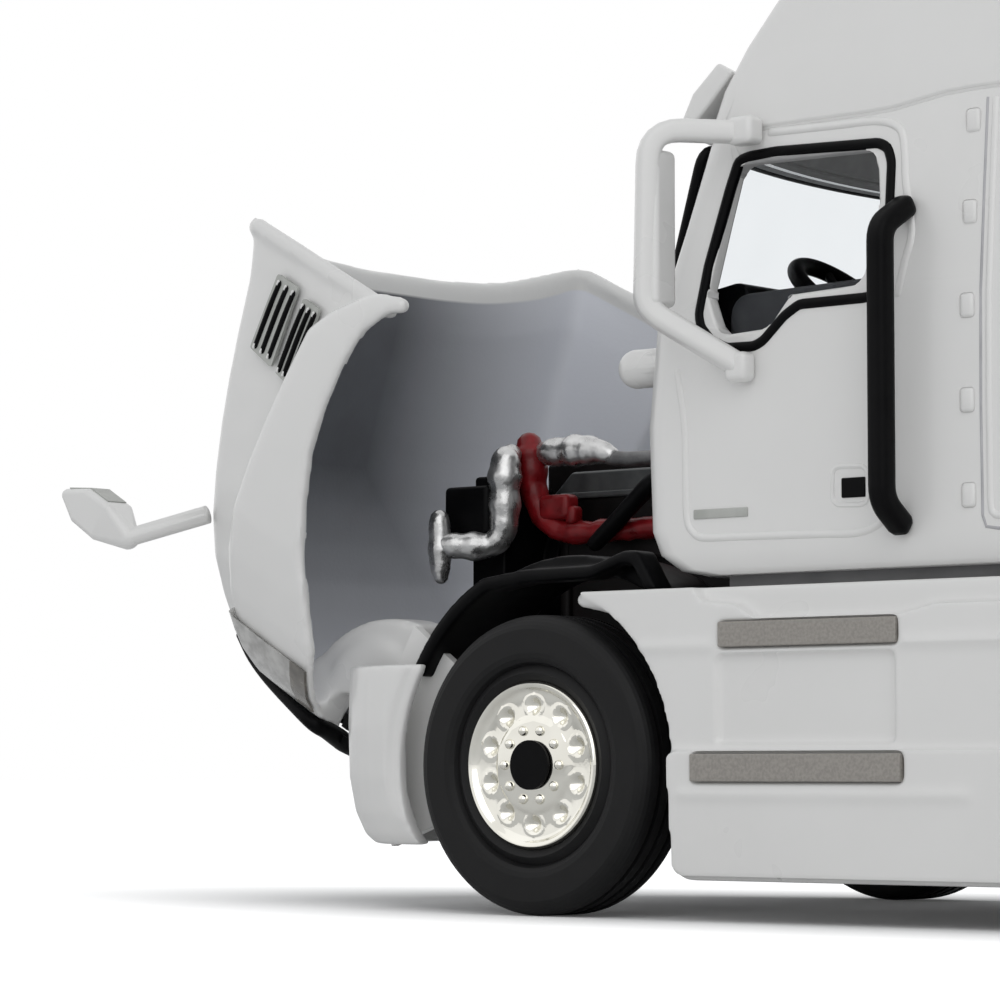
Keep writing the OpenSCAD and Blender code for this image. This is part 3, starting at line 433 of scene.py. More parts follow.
def block(bm, low, high, soft, segments=3, slide=None):  # soft-edged box; slide moves its front top edge
    low, high = spot(*low), spot(*high)
    box = Matrix.Translation((low + high) / 2) @ Matrix.Diagonal((*(high - low), 1))
    made = bmesh.ops.create_cube(bm, size=1, matrix=box)["verts"]
    if slide:
        top = [v for v in made if v.co.z > (low.z + high.z) / 2 and v.co.x > (low.x + high.x) / 2]
        bmesh.ops.translate(bm, verts=top, vec=Vector((slide * mm, 0, 0)))
    edges = list({e for v in made for e in v.link_edges})
    bmesh.ops.bevel(bm, geom=edges, offset=soft * mm, offset_type="OFFSET", affect="EDGES",
                    segments=segments, profile=0.5, material=-1)


def closeUp(bm):  # all faces look outwards
    bmesh.ops.recalc_face_normals(bm, faces=bm.faces)


def roundedLoop(corners, radius, steps=5):  # corners as (x, z), in order
    loop = []
    for i, here in enumerate(corners):
        before, after = Vector(corners[i - 1]), Vector(corners[(i + 1) % len(corners)])
        here = Vector(here)
        u, v = (before - here).normalized(), (after - here).normalized()
        for k in range(steps + 1):
            t = k / steps
            a, b = here + u * radius * (1 - t), here + v * radius * t
            loop.append(a * (1 - t) + b * t)
    return loop


def finely(points, step):  # more points along a flat line of (x, z)
    line = [Vector(points[0])]
    for a, b in zip(points, points[1:]):
        a, b = Vector(a), Vector(b)
        n = max(1, round((b - a).length / step))
        line += [a.lerp(b, (k + 1) / n) for k in range(n)]
    return line


def nodeTree(name):  # the node's surface, for dropping points onto it
    bm = nodeCopy(name)
    tree = BVHTree.FromBMesh(bm)
    bm.free()
    return tree


cabTree = nodeTree("cab_shell")
fairingTree = nodeTree("fairing_left")
rayFrom = 40  # points dropped onto a node start this far out, in mm


def onCabSide(x, z, side, proud=0.0):
    hit = cabTree.ray_cast(spot(x, side * rayFrom, z), Vector((0, -side, 0)))[0]
    return hit + Vector((0, side * proud * mm, 0))


def onCabFront(y, z, proud=0.0):
    hit = cabTree.ray_cast(spot(rayFrom, y, z), Vector((-1, 0, 0)))[0]
    return hit + Vector((proud * mm, 0, 0))


# beads and seams on the cab's sides: outline points (x, z), bead radius, how far it stands proud
beads = {
    "doorEdge": {"line": [(-11.5, 36.6), (-12.1, 33), (-12.2, 26.8), (-12.7, 25.8), (-13.6, 25.4),
                          (-26, 25.2), (-27.6, 25.6), (-28.3, 26.5), (-28.4, 30)], "r": 0.34, "proud": -0.2},
    "windowRidge": {"line": [(-18.6, 52.25), (-27, 52.05), (-28.6, 51.6), (-29.35, 50.6), (-29.7, 47.6),
                             (-30.3, 44.5), (-29.4, 40.5)], "r": 0.36, "proud": -0.2},
    "sleeperEdge": {"line": [(-36.35, 52.4), (-36.35, 26.6), (-36.6, 26), (-37.2, 25.85), (-69, 25.7)],
                    "r": 0.3, "proud": -0.16},
}
lineStep = 2.5  # how often a line is dropped onto the cab
bm = bmesh.new()
for side in (1, -1):
    for spec in beads.values():
        path = smoothPath([(*p, 0) for p in finely(spec["line"], lineStep)], 3)
        tube(bm, [onCabSide(p.x, p.y, side, spec["proud"]) for p in path], spec["r"], sides=10, dome=True)
closeUp(bm)
makePiece("cabBeads", bm, "whitePaint", "truck")

# grey line along each sleeper seam: painted shade standing in for the groove's shade
seams = {"line": [(-35.75, 52.6), (-35.75, 25.9), (-36, 25.2), (-36.9, 25.05), (-69, 24.9)],
         "r": 0.12, "proud": -0.05}
bm = bmesh.new()
for side in (1, -1):
    path = finely(seams["line"], lineStep)
    tube(bm, [onCabSide(p.x, p.y, side, seams["proud"]) for p in path], seams["r"], sides=8)
closeUp(bm)
makePiece("sleeperSeamShade", bm, "seamGrey", "truck")


def sidePad(bm, side, probe, low, high, rise, soft, segments=3):  # pad set on the cab's side, corners (x, z)
    y = onCabSide(*probe, side).y / mm
    block(bm, (low[0], y - rise, low[1]), (high[0], y + rise, high[1]), soft, segments)


# pads behind the doors and the rim round each door handle
pads = {"x": -34.75, "z": (51.2, 45.27, 39.28, 33.25, 27.24), "half": (0.55, 0.8), "rise": 0.2, "soft": 0.28,
        "rim": [(-24.2, 29.6), (-27, 29.5), (-27, 27), (-24.2, 27.1)], "rimBend": 0.7, "rimR": 0.22,
        "sunk": 0.1}
bm = bmesh.new()
for side in (1, -1):
    for z in pads["z"]:
        x, (w, h) = pads["x"], pads["half"]
        sidePad(bm, side, (x, z), (x - w, z - h), (x + w, z + h), pads["rise"], pads["soft"])
    loop = [onCabSide(p.x, p.y, side, -pads["sunk"]) for p in roundedLoop(pads["rim"], pads["rimBend"])]
    tube(bm, loop, pads["rimR"], closed=True, sides=8)
closeUp(bm)
makePiece("sidePads", bm, "whitePaint", "truck")

insert = {"probe": (-25.9, 28.1), "low": (-26.85, 27.5), "high": (-24.95, 28.8), "rise": 0.12, "soft": 0.1}
bm = bmesh.new()
for side in (1, -1):
    sidePad(bm, side, **insert)
closeUp(bm)
makePiece("handleInserts", bm, "blackPlastic", "truck")

plate = {"probe": (-15, 27), "low": (-17.35, 26.65), "high": (-12.85, 27.28), "rise": 0.1, "soft": 0.06,
         "segments": 2}
bm = bmesh.new()
for side in (1, -1):
    sidePad(bm, side, **plate)
closeUp(bm)
makePiece("doorPlates", bm, "ventSilver", "truck")

# black seal round each side window
windowSeal = {"line": [(-16, 50.6), (-16.8, 50.8), (-19, 50.9), (-27.4, 50.55), (-28.15, 50.15),
                       (-28.5, 49.2), (-28.52, 45.9), (-28.4, 42.4), (-28, 40.8), (-27, 40.4), (-21.6, 40.4),
                       (-20.4, 39.75), (-18.65, 38.2), (-17.9, 37.9), (-15.6, 37.95), (-14.3, 38.6),
                       (-13.5, 39.5), (-13.3, 40.4), (-13.9, 43.6), (-15.4, 48.8)],
              "corner": 0.3, "r": 0.38, "proud": -0.12}
bm = bmesh.new()
loop = roundedLoop(windowSeal["line"], windowSeal["corner"], 2)
for side in (1, -1):
    path = [onCabSide(p.x, p.y, side, windowSeal["proud"]) for p in loop]
    tube(bm, path, windowSeal["r"], closed=True, sides=12)
closeUp(bm)
makePiece("windowSeals", bm, "blackPlastic", "truck", ["window_seals"])

# black seal round the windscreen, standing past the pillars
screenSeal = {"loop": [(-18.9, 41.2), (18.9, 41.2), (18.9, 52.1), (-18.9, 52.1)], "corner": 1.2, "r": 0.45,
              "foot": (-8.2, 41.2), "slope": 0.2976, "glassHalf": 17.5, "pillarFrom": 17, "proud": 0.1,
              "step": 1.5}
loop = roundedLoop(screenSeal["loop"], screenSeal["corner"])
loop = finely(loop + loop[:1], screenSeal["step"])[:-1]
half = screenSeal["glassHalf"]
path = []
for p in loop:
    at = onCabFront(max(-half, min(half, p.x)), p.y, screenSeal["proud"])
    pillar = spot(screenSeal["foot"][0] - (p.y - screenSeal["foot"][1]) * screenSeal["slope"], p.x, p.y)
    x = max(at.x, pillar.x) if abs(p.x) > screenSeal["pillarFrom"] else at.x
    path.append(Vector((x, pillar.y, pillar.z)))
bm = bmesh.new()
tube(bm, path, screenSeal["r"], closed=True, sides=12)
closeUp(bm)
makePiece("screenSeal", bm, "blackPlastic", "truck")


# soft joint between cab and roof, with the heights searched for the top of the cab's side
roofJoint = {"from": -15, "to": -69, "spans": 40, "r": 0.34, "sunk": 0.3, "under": 0.2, "lift": 0.3,
             "top": 56.0, "low": 50, "step": 0.05, "wall": 19}


def seamHeight(x):  # top of the cab's side, where the roof sits on it
    z = roofJoint["top"]
    while z > roofJoint["low"]:
        hit = cabTree.ray_cast(spot(x, rayFrom, z), Vector((0, -1, 0)))[0]
        if hit and hit.y > roofJoint["wall"] * mm:
            return z
        z -= roofJoint["step"]
    return z


bm = bmesh.new()
run = roofJoint["to"] - roofJoint["from"]
spans = [roofJoint["from"] + run * k / roofJoint["spans"] for k in range(roofJoint["spans"] + 1)]
for side in (1, -1):
    path = [onCabSide(x, seamHeight(x) - roofJoint["under"], side, -roofJoint["sunk"]) for x in spans]
    tube(bm, [p + Vector((0, 0, roofJoint["lift"] * mm)) for p in path], roofJoint["r"], sides=10, dome=True)
closeUp(bm)
makePiece("roofJoint", bm, "whitePaint", "truck")
print("cab side details laid")

# skirts: pressed lines (x from, x to, z) and a round front tip, rows of (x, z, radius), in one casting
skirt = {"lines": [(-9.9, -15.6, 18.1), (-31, -67, 18.05), (-13.6, -36, 8.35)], "step": 2, "r": 0.42,
         "sunk": 0.21, "tip": [(-4.3, 21.46, 0.52), (-5.6, 21.34, 0.64), (-7.2, 21.16, 0.8)], "tipY": 23.2,
         "thinFrom": -4.4, "voxel": 0.2, "rounds": 4}
for node, name, side in (("fairing_left", "leftFairing", 1), ("fairing_right", "rightFairing", -1)):
    bm = nodeCopy(node)
    for v in bm.verts:  # the thin end of the tip gives way to a round one
        v.co.x = min(v.co.x, spot(skirt["thinFrom"], 0, 0).x)
    path = [spot(x, side * skirt["tipY"], z) for x, z, r in skirt["tip"]]
    tube(bm, path, [r for x, z, r in skirt["tip"]], sides=16, dome=True)
    for x0, x1, z in skirt["lines"]:
        path = []
        for p in finely([(x0, z), (x1, z)], skirt["step"]):
            hit = fairingTree.ray_cast(spot(p.x, rayFrom, p.y), Vector((0, -1, 0)))[0]
            path.append(Vector((hit.x, side * (hit.y - skirt["sunk"] * mm), hit.z)))
        tube(bm, path, skirt["r"], sides=10, dome=True)
    bm = recast(bm, skirt["voxel"], skirt["rounds"])
    makePiece(name, bm, "whitePaint", "truck", [node], even=False)

bumper = {"voxel": 0.2, "rounds": 6}
bm = recast(nodeCopy("bumper"), bumper["voxel"], bumper["rounds"])
makePiece("bumperCasting", bm, "whitePaint", "truck", ["bumper"], even=False)
liner = {"voxel": 0.2, "rounds": 12}
bm = recast(nodeCopy("liners"), liner["voxel"], liner["rounds"])
makePiece("archLiners", bm, "blackPlastic", "truck", ["liners"], even=False)
print("skirts, bumper and liners recast")

# door mirrors: one bent tube each, with the housing and two feet as blocks (low, high, soft edge)
mirror = {"path": [(-17.2, 21.4, 52.35), (-12.9, 26.88, 52.3), (-12.6, 26.88, 40.8), (-13.2, 26.4, 39.9),
                   (-17.3, 22.5, 36.5)], "bend": 2.2, "r": 0.76,
          "blocks": [((-13.75, 24.8, 40.5), (-12.2, 27.2, 51), 0.5),
                     ((-18.3, 21.2, 51.4), (-16.2, 22.9, 53.3), 0.45),
                     ((-18.2, 22.1, 35.5), (-16.4, 23.5, 37.5), 0.45)]}
bm = bmesh.new()
for side in (1, -1):
    path = bentPath([(x, side * y, z) for x, y, z in mirror["path"]], mirror["bend"])
    tube(bm, [spot(*p) for p in path], mirror["r"], sides=24, square=4, start=Vector((0, 0, 1)))
    for low, high, soft in mirror["blocks"]:
        y0, y1 = sorted((side * low[1], side * high[1]))
        block(bm, (low[0], y0, low[2]), (high[0], y1, high[2]), soft, 4)
closeUp(bm)
makePiece("doorMirrors", bm, "whitePaint", "truck", ["door_mirrors"])

# grab handles: flattened tubes with turned-in ends
handle = {"path": [(-30, 22.1, 46), (-29.6, 24.2, 44.6), (-29.6, 24.2, 27), (-29.8, 22.5, 25.6)],
          "bend": 1.0, "r": 0.74}
bm = bmesh.new()
for side in (1, -1):
    path = [spot(*p) for p in bentPath([(x, side * y, z) for x, y, z in handle["path"]], handle["bend"])]
    tube(bm, path, handle["r"], sides=24, dome=True, square=4, start=Vector((1, 0, 0)))
closeUp(bm)
makePiece("grabHandles", bm, "blackPlastic", "truck", ["grab_handles"])
print("mirrors and handles swept")

# glass of the hood mirrors: a folded face, corners as (x, z) on the closed hood
glass = {"face": [(18.12, 42.7), (18.12, 44.9), (19.2, 47.05)], "y": (20.9, 22.8), "thick": 0.12,
         "weld": 0.01}
bm = bmesh.new()
for side in (1, -1):
    y0, y1 = glass["y"]
    for (x0, z0), (x1, z1) in zip(glass["face"], glass["face"][1:]):
        corners = ((x0, y0, z0), (x1, y0, z1), (x1, y1, z1), (x0, y1, z0))
        bm.faces.new([bm.verts.new(hoodSpot(x, side * y, z)) for x, y, z in corners])
bmesh.ops.remove_doubles(bm, verts=bm.verts, dist=glass["weld"] * mm)
closeUp(bm)
bmesh.ops.solidify(bm, geom=bm.faces, thickness=glass["thick"] * mm)
closeUp(bm)
makePiece("mirrorGlass", bm, "ventSilver", "hood_body", sharpAngle=60)

# hood: a rounded rim along its rear edge, half of it listed as on the closed hood, and a rounded ear
hoodRim = {"half": [(-7.75, 22.45, 23.1), (-7.55, 22.5, 23.6), (-7.34, 22.45, 24.35), (-7.06, 22.17, 25.2),
                    (-6.78, 21.4, 25.82), (-6.25, 20.35, 26.1), (-6.08, 20.1, 33.6), (-5.82, 19.54, 41.3),
                    (-5.74, 19.39, 41.94), (-5.57, 19.04, 42.44), (-5.33, 18.54, 42.79),
                    (-5.07, 17.95, 42.94), (-3.24, 11.87, 43.23), (-2.59, 5.93, 43.39)],
           "middle": (-2.5, 0, 43.45), "r": 0.66,
           "ear": (-8.4, 22.45, 22.4), "earR": 1.1, "core": (0, 0, 26), "voxel": 0.27, "rounds": 5}
half = hoodRim["half"]
path = smoothPath(half + [hoodRim["middle"]] + [(x, -y, z) for x, y, z in reversed(half)], 4)
bm = nodeCopy("hood")
for side in (1, -1):
    x, y, z = hoodRim["ear"]
    roundCorner(bm, hoodSpot(x, side * y, z), hoodRim["earR"])
tube(bm, [hoodSpot(*p) for p in path], hoodRim["r"], sides=16, dome=True)
bm = recast(bm, hoodRim["voxel"], hoodRim["rounds"])
middle, along = hoodSpot(*hoodRim["core"]), hoodTilt.to_3x3() @ Vector((1, 0, 0))
# faces inside the hood take the painted-shade finish
for face in bm.faces:
    face.material_index = 1 if insideFace(face, middle, along) else 0
makePiece("hoodCasting", bm, ["whitePaint", "hoodInsidePaintedShade"], "hood_body", ["hood"], even=False)
print("hood recast")

# vents: corner and lean of the panels (x from, x to, z from, z to), bowed slots and their light tips
vent = {"corner": (-4, 20.95, 31.2), "lean": 3.6, "turn": -1.5,
        "panels": [(-4, 2.4, 34.1, 37), (-3.6, 2.8, 31.2, 33.5)], "slots": 3, "edge": 0.6, "margin": 0.2,
        "ends": (0.6, 0.7), "bow": [(0, -0.05), (0.4, 0.03), (1, -0.02)], "proud": 0.16, "r": 0.27,
        "tipOut": 0.05, "tipProud": 0.36, "tipHalf": 0.12, "tipR": 0.11}
ventPlace = (Matrix.Translation(spot(*vent["corner"])) @ Matrix.Rotation(math.radians(vent["turn"]), 4, "Z")
             @ Matrix.Rotation(math.radians(vent["lean"]), 4, "X"))
bm = bmesh.new()
tips = bmesh.new()
for side in (1, -1):
    place = hoodTilt @ Matrix.Diagonal((1, side, 1, 1)) @ ventPlace
    for x0, x1, z0, z1 in vent["panels"]:
        a, b = x0 + vent["ends"][0] - vent["corner"][0], x1 - vent["ends"][1] - vent["corner"][0]
        for k in range(vent["slots"]):
            z = z0 + vent["edge"] + (z1 - z0 - vent["margin"]) * k / vent["slots"] - vent["corner"][2]
            line = smoothPath([(a * (1 - t) + b * t, vent["proud"], z + rise) for t, rise in vent["bow"]])
            tube(bm, [place @ (p * mm) for p in line], vent["r"], sides=10, dome=True)
            for x in (a - vent["tipOut"], b + vent["tipOut"]):
                ends = [Vector((x + out, vent["tipProud"], z)) for out in (-vent["tipHalf"], vent["tipHalf"])]
                tube(tips, [place @ (p * mm) for p in ends], vent["tipR"], sides=8, dome=True)
closeUp(bm)
closeUp(tips)
makePiece("ventSlots", bm, "blackPlastic", "hood_body")
makePiece("ventTips", tips, "whitePaint", "hood_body")

# headlamps: darker below this height on the closed hood
lamp = {"darkBelow": 19.6}
bm = nodeCopy("headlamps")
bmesh.ops.bisect_plane(bm, geom=[*bm.verts, *bm.edges, *bm.faces], plane_co=hoodSpot(0, 0, lamp["darkBelow"]),
                       plane_no=hoodTilt.to_3x3() @ Vector((0, 0, 1)))
for face in bm.faces:
    face.material_index = 1 if (backToClosed @ face.calc_center_median()).z < lamp["darkBelow"] * mm else 0
makePiece("headlampLenses", bm, ["lampLens", "lampBand"], "hood_body", ["headlamps"])

# black trim beside each lamp and round the chin of the nose, rows of (x, y, z, radius), half of it listed
trim = {"half": [(22.4, 18, 29.4, 0.25), (23, 18.4, 27, 0.4), (23.4, 18.8, 24.2, 0.45),
                 (23.6, 19.3, 20.5, 0.5), (23.8, 19.2, 18.3, 0.58), (24.2, 17.8, 18.05, 0.68),
                 (24.8, 16.3, 18.1, 0.75), (25.5, 14.5, 18.1, 0.75), (26.9, 9, 18.1, 0.75),
                 (27.3, 4.5, 18.1, 0.75)],
        "middle": (27.4, 0, 18.1, 0.75)}
rows = trim["half"] + [trim["middle"]] + [(x, -y, z, r) for x, y, z, r in reversed(trim["half"])]
path = [hoodSpot(*p) for p in smoothPath([r[:3] for r in rows], 4)]
radii = [p.x for p in smoothPath([(r[3], 0, 0) for r in rows], 4)]
bm = bmesh.new()
tube(bm, path, radii, sides=16, dome=True)
closeUp(bm)
makePiece("noseTrim", bm, "blackPlastic", "hood_body")
print("hood details laid")

# front rims: turned profile as (radius, y), pressed hand holes, domed nuts
rim = {"axle": 10.3, "steps": 160,
       "inner": [(0.86, 21.9), (0.86, 23.66), (2.9, 23.62), (3.15, 23.57), (3.3, 23.46)],
       "disc": {"from": 3.42, "step": 0.085, "count": 18, "y": 23.4, "dish": 0.03},
       "outer": [(5.0, 23.42), (5.15, 23.52), (5.28, 23.7), (5.42, 23.82), (5.58, 23.83), (5.72, 23.7),
                 (5.78, 23.45), (5.78, 18.95), (5.2, 18.95), (5.2, 21.9)],
       "holes": 10, "holeAt": 4.05, "holeR": 0.68, "depth": 0.5, "pressed": (3.0, 5.1), "pressedFrom": 23,
       "lip": 0.07, "lipAt": 1.1, "lipWide": 0.15, "nutAt": 2.45, "nutR": 0.36, "nutY": 23.62}
disc = rim["disc"]
profile = list(rim["inner"])
for i in range(disc["count"]):
    dish = disc["dish"] * math.sin(math.pi * i / (disc["count"] - 1))
    profile.append((disc["from"] + disc["step"] * i, disc["y"] - dish))
profile += rim["outer"]
bm = bmesh.new()
for side in (1, -1):
    verts = [bm.verts.new(spot(r, side * y, rim["axle"])) for r, y in profile]
    edges = [bm.edges.new((a, b)) for a, b in zip(verts, verts[1:] + verts[:1])]
    bmesh.ops.spin(bm, geom=verts + edges, cent=spot(0, 0, rim["axle"]), axis=(0, 1, 0), angle=math.tau,
                   steps=rim["steps"], use_merge=True)
middle = spot(0, 0, rim["axle"])
for v in bm.verts:
    side = 1 if v.co.y > 0 else -1
    out = (v.co - middle) / mm
    flat = Vector((out.x, out.z))
    if not rim["pressed"][0] < flat.length < rim["pressed"][1] or abs(out.y) < rim["pressedFrom"]:
        continue
    near = round(math.atan2(flat.y, flat.x) / math.tau * rim["holes"] - 0.5) + 0.5
    at = near * math.tau / rim["holes"]
    away = (flat - Vector((math.cos(at), math.sin(at))) * rim["holeAt"]).length / rim["holeR"]
    sink = rim["depth"] * (1 - away ** 2) ** 2 if away < 1 else 0
    lip = rim["lip"] * math.exp(-((away - rim["lipAt"]) / rim["lipWide"]) ** 2)
    v.co.y += side * (lip - sink) * mm
for side in (1, -1):
    for k in range(rim["holes"]):
        a = k * math.tau / rim["holes"]
        at = spot(rim["nutAt"] * math.cos(a), side * rim["nutY"], rim["axle"] + rim["nutAt"] * math.sin(a))
        bmesh.ops.create_uvsphere(bm, u_segments=16, v_segments=10, radius=rim["nutR"] * mm,
                                  matrix=Matrix.Translation(at))
closeUp(bm)
makePiece("frontRims", bm, "chrome", "front_wheels", ["front_rims"], even=False)
print("front rims turned")

# engine: dark block, red manifold, silver pipes and black hoses
engine = {"blocks": [((-4.2, -4.2, 19.6), (12.6, 4.2, 28.2)), ((-4.2, -2.8, 15), (11.2, 2.8, 20)),
                     ((12.5, -4.6, 20.2), (13.4, 4.6, 30.2)), ((-3.4, 4.1, 25.4), (11.9, 5.6, 27.4)),
                     ((-3.8, -3.2, 28), (13.2, 3.7, 30.5)), ((4, -3, 30), (15.6, 3.4, 33))], "soft": 0.3}
bm = bmesh.new()
for low, high in engine["blocks"]:
    block(bm, low, high, engine["soft"])
closeUp(bm)
makePiece("engineCasting", bm, "engineDark", "truck", ["engine_block"])


lumpsPerMm = 0.9  # how closely a cast pipe's lumps follow each other


def lumpyTube(bm, rows, lump, seed):  # cast pipe, rows of (x, y, z, radius)
    places = smoothPath([r[:3] for r in rows])
    sizes = [p.x for p in smoothPath([(r[3], 0, 0) for r in rows])]
    sizes = [r * (1 + lump * noise.noise(p * lumpsPerMm + Vector((seed, 0, 0))))
             for p, r in zip(places, sizes)]
    tube(bm, [spot(*p) for p in places], sizes, sides=20, dome=True)


manifold = {"pipe": [(14.1, 7.2, 34.1, 1.0), (14, 7.2, 33.3, 1.4), (13.85, 7.2, 32.2, 1.2),
                     (13.8, 7.1, 31, 1.05), (13.3, 7, 29.4, 1.0), (12.2, 6.9, 28.2, 0.95),
                     (10.3, 6.8, 27.5, 0.9), (6, 6.6, 27.5, 0.85), (1, 6.4, 27.6, 0.85),
                     (-3.4, 6.3, 27.6, 0.8)], "lump": 0.3, "seed": 3,
            "tip": [(14.1, 7.2, 34.1, 0.8), (14.15, 7.2, 34.6, 0.45), (14.15, 7.2, 34.95, 0.15)],
            "tipLump": 0.1, "tipSeed": 5,
            "blocks": [((9.9, 6.3, 28.4), (12.8, 7.9, 30.3), 0.45),
                       ((9.4, 6.5, 28), (10.4, 7.7, 29.4), 0.35)]}
bm = bmesh.new()
lumpyTube(bm, manifold["pipe"], manifold["lump"], manifold["seed"])
lumpyTube(bm, manifold["tip"], manifold["tipLump"], manifold["tipSeed"])
for low, high, soft in manifold["blocks"]:
    block(bm, low, high, soft, 4)
closeUp(bm)
makePiece("redManifold", bm, "engineRed", "truck")

pipes = {"rows": [[(18.1, 12.3, 26.6, 0.9), (16.6, 11.4, 26.5, 1.0), (15.2, 10.4, 26.6, 1.05),
                   (14.4, 9.95, 27.5, 1.1), (14.3, 9.8, 29.5, 1.15), (14.3, 9.8, 31.6, 1.2),
                   (14.3, 9.6, 32.8, 1.1), (14.3, 9.1, 33.3, 0.85)],
                  [(18.3, 12.4, 24.3, 0.6), (18.35, 12.4, 24.9, 0.85), (18.4, 12.4, 26.6, 0.9),
                   (18.45, 12.4, 28, 0.75), (18.45, 12.4, 28.5, 0.66)],
                  [(12.7, 7, 33.5, 0.9), (11.5, 7, 33.5, 1.12), (9.6, 7, 33.5, 1.15), (7.8, 7, 33.4, 1.0),
                   (6.5, 7, 33, 0.7)]], "lump": 0.22, "seed": 7}
bm = bmesh.new()
for i, rows in enumerate(pipes["rows"]):
    lumpyTube(bm, rows, pipes["lump"], pipes["seed"] * i)
closeUp(bm)
makePiece("chargePipes", bm, "silverPaint", "truck", ["charge_pipes"])

hose = {"rows": [(1, 7.9, 31.2, 0.65), (2.4, 7.9, 30.3, 0.68), (5, 7.9, 28.2, 0.64), (7.2, 7.9, 26.5, 0.6)],
        "lump": 0.05, "seed": 0}
bm = bmesh.new()
lumpyTube(bm, hose["rows"], hose["lump"], hose["seed"])
closeUp(bm)
makePiece("engineHoses", bm, "blackPlastic", "truck", ["hoses"])

intake = {"rows": [(7, 7, 32.9, 0.55), (5, 6.9, 32.6, 0.6), (2.6, 6.8, 32.6, 0.58), (-0.4, 6.6, 32.6, 0.58)],
          "lump": 0.08, "seed": 17}
bm = bmesh.new()
lumpyTube(bm, intake["rows"], intake["lump"], intake["seed"])
closeUp(bm)
makePiece("intakeHose", bm, "hoseGrey", "truck")

rocker = {"cover": ((-4, -3.4, 30.5), (14.6, 4, 32.25)), "soft": 0.25, "slide": -1.9,
          "lip": ((-4, 3.4, 30.2), (13.8, 4.15, 30.7)), "lipSoft": 0.15}
bm = bmesh.new()
block(bm, *rocker["cover"], rocker["soft"], slide=rocker["slide"])
block(bm, *rocker["lip"], rocker["lipSoft"])
closeUp(bm)
makePiece("rockerCover", bm, "coverGrey", "truck", ["rocker_cover"])

airBox = {"body": ((15, 8.4, 27.3), (19.3, 11, 31)), "soft": 0.4,
          "neck": ((14.9, 8.6, 30.5), (16.8, 10.4, 31.7)), "neckSoft": 0.3}
bm = bmesh.new()
block(bm, *airBox["body"], airBox["soft"], 4)
block(bm, *airBox["neck"], airBox["neckSoft"])
closeUp(bm)
makePiece("airBox", bm, "blackPlastic", "truck")
print("engine built")

# white cheeks behind the bumper's ends, curved round the wheels
cheek = {"inner": 11.3, "outer": 16.9, "from": -20, "to": 36, "y": (19.7, 20.4), "steps": 24}
bm = bmesh.new()
y0, y1 = cheek["y"]
start = math.radians(cheek["from"])
section = [(cheek["inner"], y0), (cheek["outer"], y0), (cheek["outer"], y1), (cheek["inner"], y1)]
for side in (1, -1):
    ring = [spot(r * math.cos(start), side * y, rim["axle"] + r * math.sin(start)) for r, y in section]
    first = bm.faces.new([bm.verts.new(p) for p in ring])
    bmesh.ops.spin(bm, geom=[first], cent=spot(0, 0, rim["axle"]), axis=(0, -1, 0),
                   angle=math.radians(cheek["to"] - cheek["from"]), steps=cheek["steps"])
closeUp(bm)
makePiece("bumperCheeks", bm, "whitePaint", "truck")

# floor, light and camera
floor = {"size": 6.0, "rough": 0.9, "tone": (0.9, 0.9, 0.9), "glow": (0.04, 0.72),
         "reach": (0.026, 0.044), "along": 0.35}  # the glow keeps the far floor white to the camera; lower near the truck, it paints shade round the truck
bm = bmesh.new()
bmesh.ops.create_grid(bm, x_segments=1, y_segments=1, size=floor["size"] / 2)
mesh = bpy.data.meshes.new("floor")
bm.to_mesh(mesh)
bm.free()
ground = bpy.data.objects.new("floor", mesh)
bpy.context.scene.collection.objects.link(ground)
floorMat = bpy.data.materials.new("floorPaper")
floorMat.use_nodes = True
tree = floorMat.node_tree
shader = tree.nodes["Principled BSDF"]
shader.inputs["Base Color"].default_value = (*floor["tone"], 1)
shader.inputs["Roughness"].default_value = floor["rough"]
shader.inputs["Specular IOR Level"].default_value = 0
path = tree.nodes.new("ShaderNodeLightPath")
glow = tree.nodes.new("ShaderNodeMath")
glow.operation = "MULTIPLY"
place = tree.nodes.new("ShaderNodeTexCoord")
far = tree.nodes.new("ShaderNodeVectorMath")
far.operation = "LENGTH"
squeeze = tree.nodes.new("ShaderNodeVectorMath")
squeeze.operation = "MULTIPLY"
squeeze.inputs[1].default_value = (floor["along"], 1, 0)
tree.links.new(place.outputs["Object"], squeeze.inputs[0])
tree.links.new(squeeze.outputs["Vector"], far.inputs[0])
# less glow near the truck: painted shade round it, on top of its real shadow
shadeRoundTruck = tree.nodes.new("ShaderNodeMapRange")
shadeRoundTruck.inputs["From Min"].default_value, shadeRoundTruck.inputs["From Max"].default_value = floor["reach"]
shadeRoundTruck.inputs["To Min"].default_value, shadeRoundTruck.inputs["To Max"].default_value = floor["glow"]
tree.links.new(far.outputs["Value"], shadeRoundTruck.inputs["Value"])
tree.links.new(shadeRoundTruck.outputs["Result"], glow.inputs[1])
tree.links.new(path.outputs["Is Camera Ray"], glow.inputs[0])
shader.inputs["Emission Color"].default_value = (1, 1, 1, 1)
tree.links.new(glow.outputs["Value"], shader.inputs["Emission Strength"])
mesh.materials.append(floorMat)

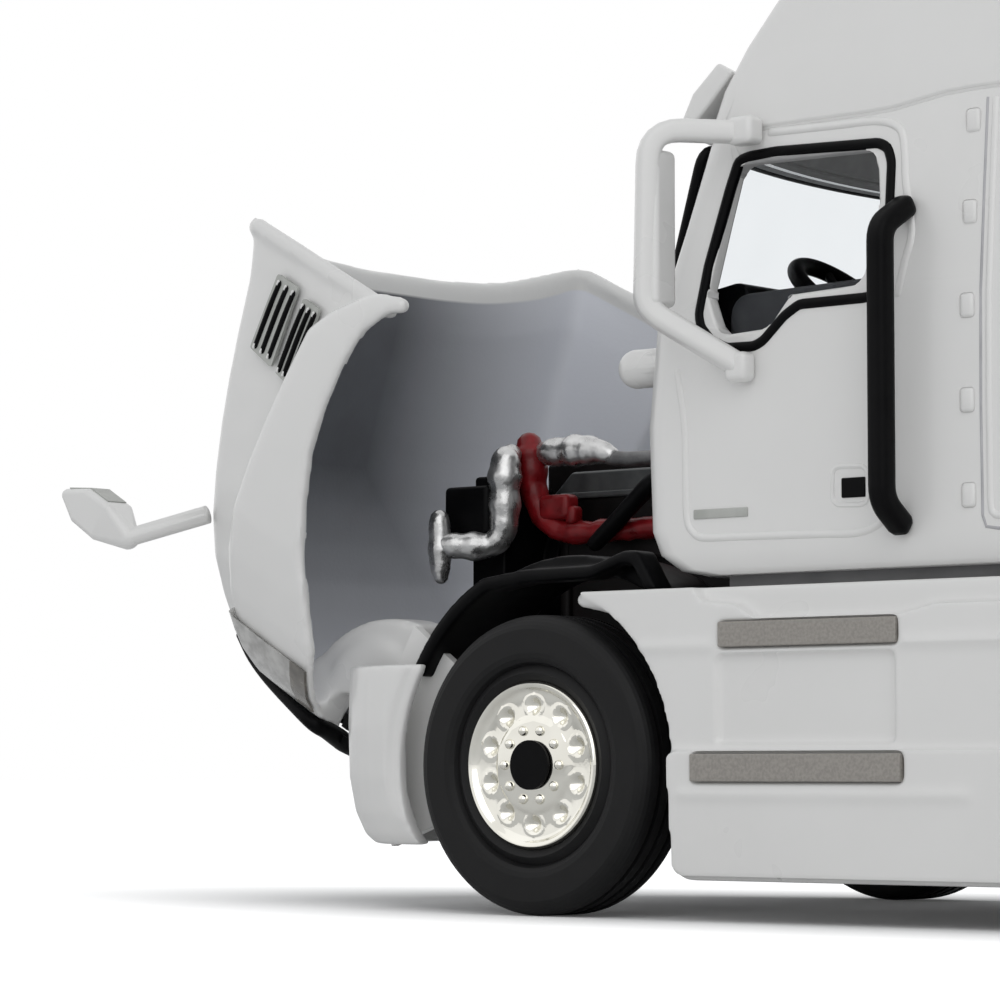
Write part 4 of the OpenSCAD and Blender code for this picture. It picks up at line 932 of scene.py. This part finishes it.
studio = {"ambient": 0.5, "tint": (0.97, 0.985, 1)}
world = bpy.data.worlds.new("studio")
bpy.context.scene.world = world
world.use_nodes = True
tree = world.node_tree
tree.nodes.clear()
out = tree.nodes.new("ShaderNodeOutputWorld")
soft = tree.nodes.new("ShaderNodeBackground")
soft.inputs["Color"].default_value = (*studio["tint"], 1)
soft.inputs["Strength"].default_value = studio["ambient"]
seen = tree.nodes.new("ShaderNodeBackground")
seen.inputs["Color"].default_value = (1, 1, 1, 1)
seen.inputs["Strength"].default_value = 1
path = tree.nodes.new("ShaderNodeLightPath")
either = tree.nodes.new("ShaderNodeMath")
either.operation = "MAXIMUM"
anyOf = tree.nodes.new("ShaderNodeMath")
anyOf.operation = "MAXIMUM"
mix = tree.nodes.new("ShaderNodeMixShader")
tree.links.new(path.outputs["Is Camera Ray"], either.inputs[0])
tree.links.new(path.outputs["Is Glossy Ray"], either.inputs[1])
tree.links.new(either.outputs["Value"], anyOf.inputs[0])
tree.links.new(path.outputs["Is Transmission Ray"], anyOf.inputs[1])
tree.links.new(anyOf.outputs["Value"], mix.inputs["Fac"])
tree.links.new(soft.outputs["Background"], mix.inputs[1])
tree.links.new(seen.outputs["Background"], mix.inputs[2])
tree.links.new(mix.outputs["Shader"], out.inputs["Surface"])


def addLamp(name, place, target, size, power):
    data = bpy.data.lights.new(name, "AREA")
    data.shape = "DISK"
    data.size = size
    data.energy = power
    lamp = bpy.data.objects.new(name, data)
    lamp.location = place
    lamp.rotation_mode = "QUATERNION"
    lamp.rotation_quaternion = (target - place).to_track_quat("-Z", "Y")
    bpy.context.scene.collection.objects.link(lamp)


lamps = {"keyLamp": {"at": (-220, 240, 230), "to": (-30, 0, 20), "size": 0.45, "power": 0.42},
         "fillLamp": {"at": (180, 120, 200), "to": (0, 0, 20), "size": 0.35, "power": 0.05}}
for name, spec in lamps.items():
    addLamp(name, spot(*spec["at"]), spot(*spec["to"]), spec["size"], spec["power"])

# camera as the photograph saw it: place in mm, turn from straight across and tilt in degrees
eye = {"place": (-166.4, 220.35, 9.82), "turn": 40.71, "tilt": 4.14, "lens": 135.3, "sensor": 36,
       "clip": (0.01, 20)}
turn, tilt = math.radians(eye["turn"]), math.radians(eye["tilt"])
look = Vector((math.sin(turn) * math.cos(tilt), -math.cos(turn) * math.cos(tilt), math.sin(tilt)))
camData = bpy.data.cameras.new("camera")
camData.sensor_width = eye["sensor"]
camData.lens = eye["lens"]
camData.clip_start, camData.clip_end = eye["clip"]
camera = bpy.data.objects.new("camera", camData)
camera.location = spot(*eye["place"])
camera.rotation_mode = "QUATERNION"
camera.rotation_quaternion = look.to_track_quat("-Z", "Y")
bpy.context.scene.collection.objects.link(camera)
bpy.context.scene.camera = camera
print("floor, light and camera set")
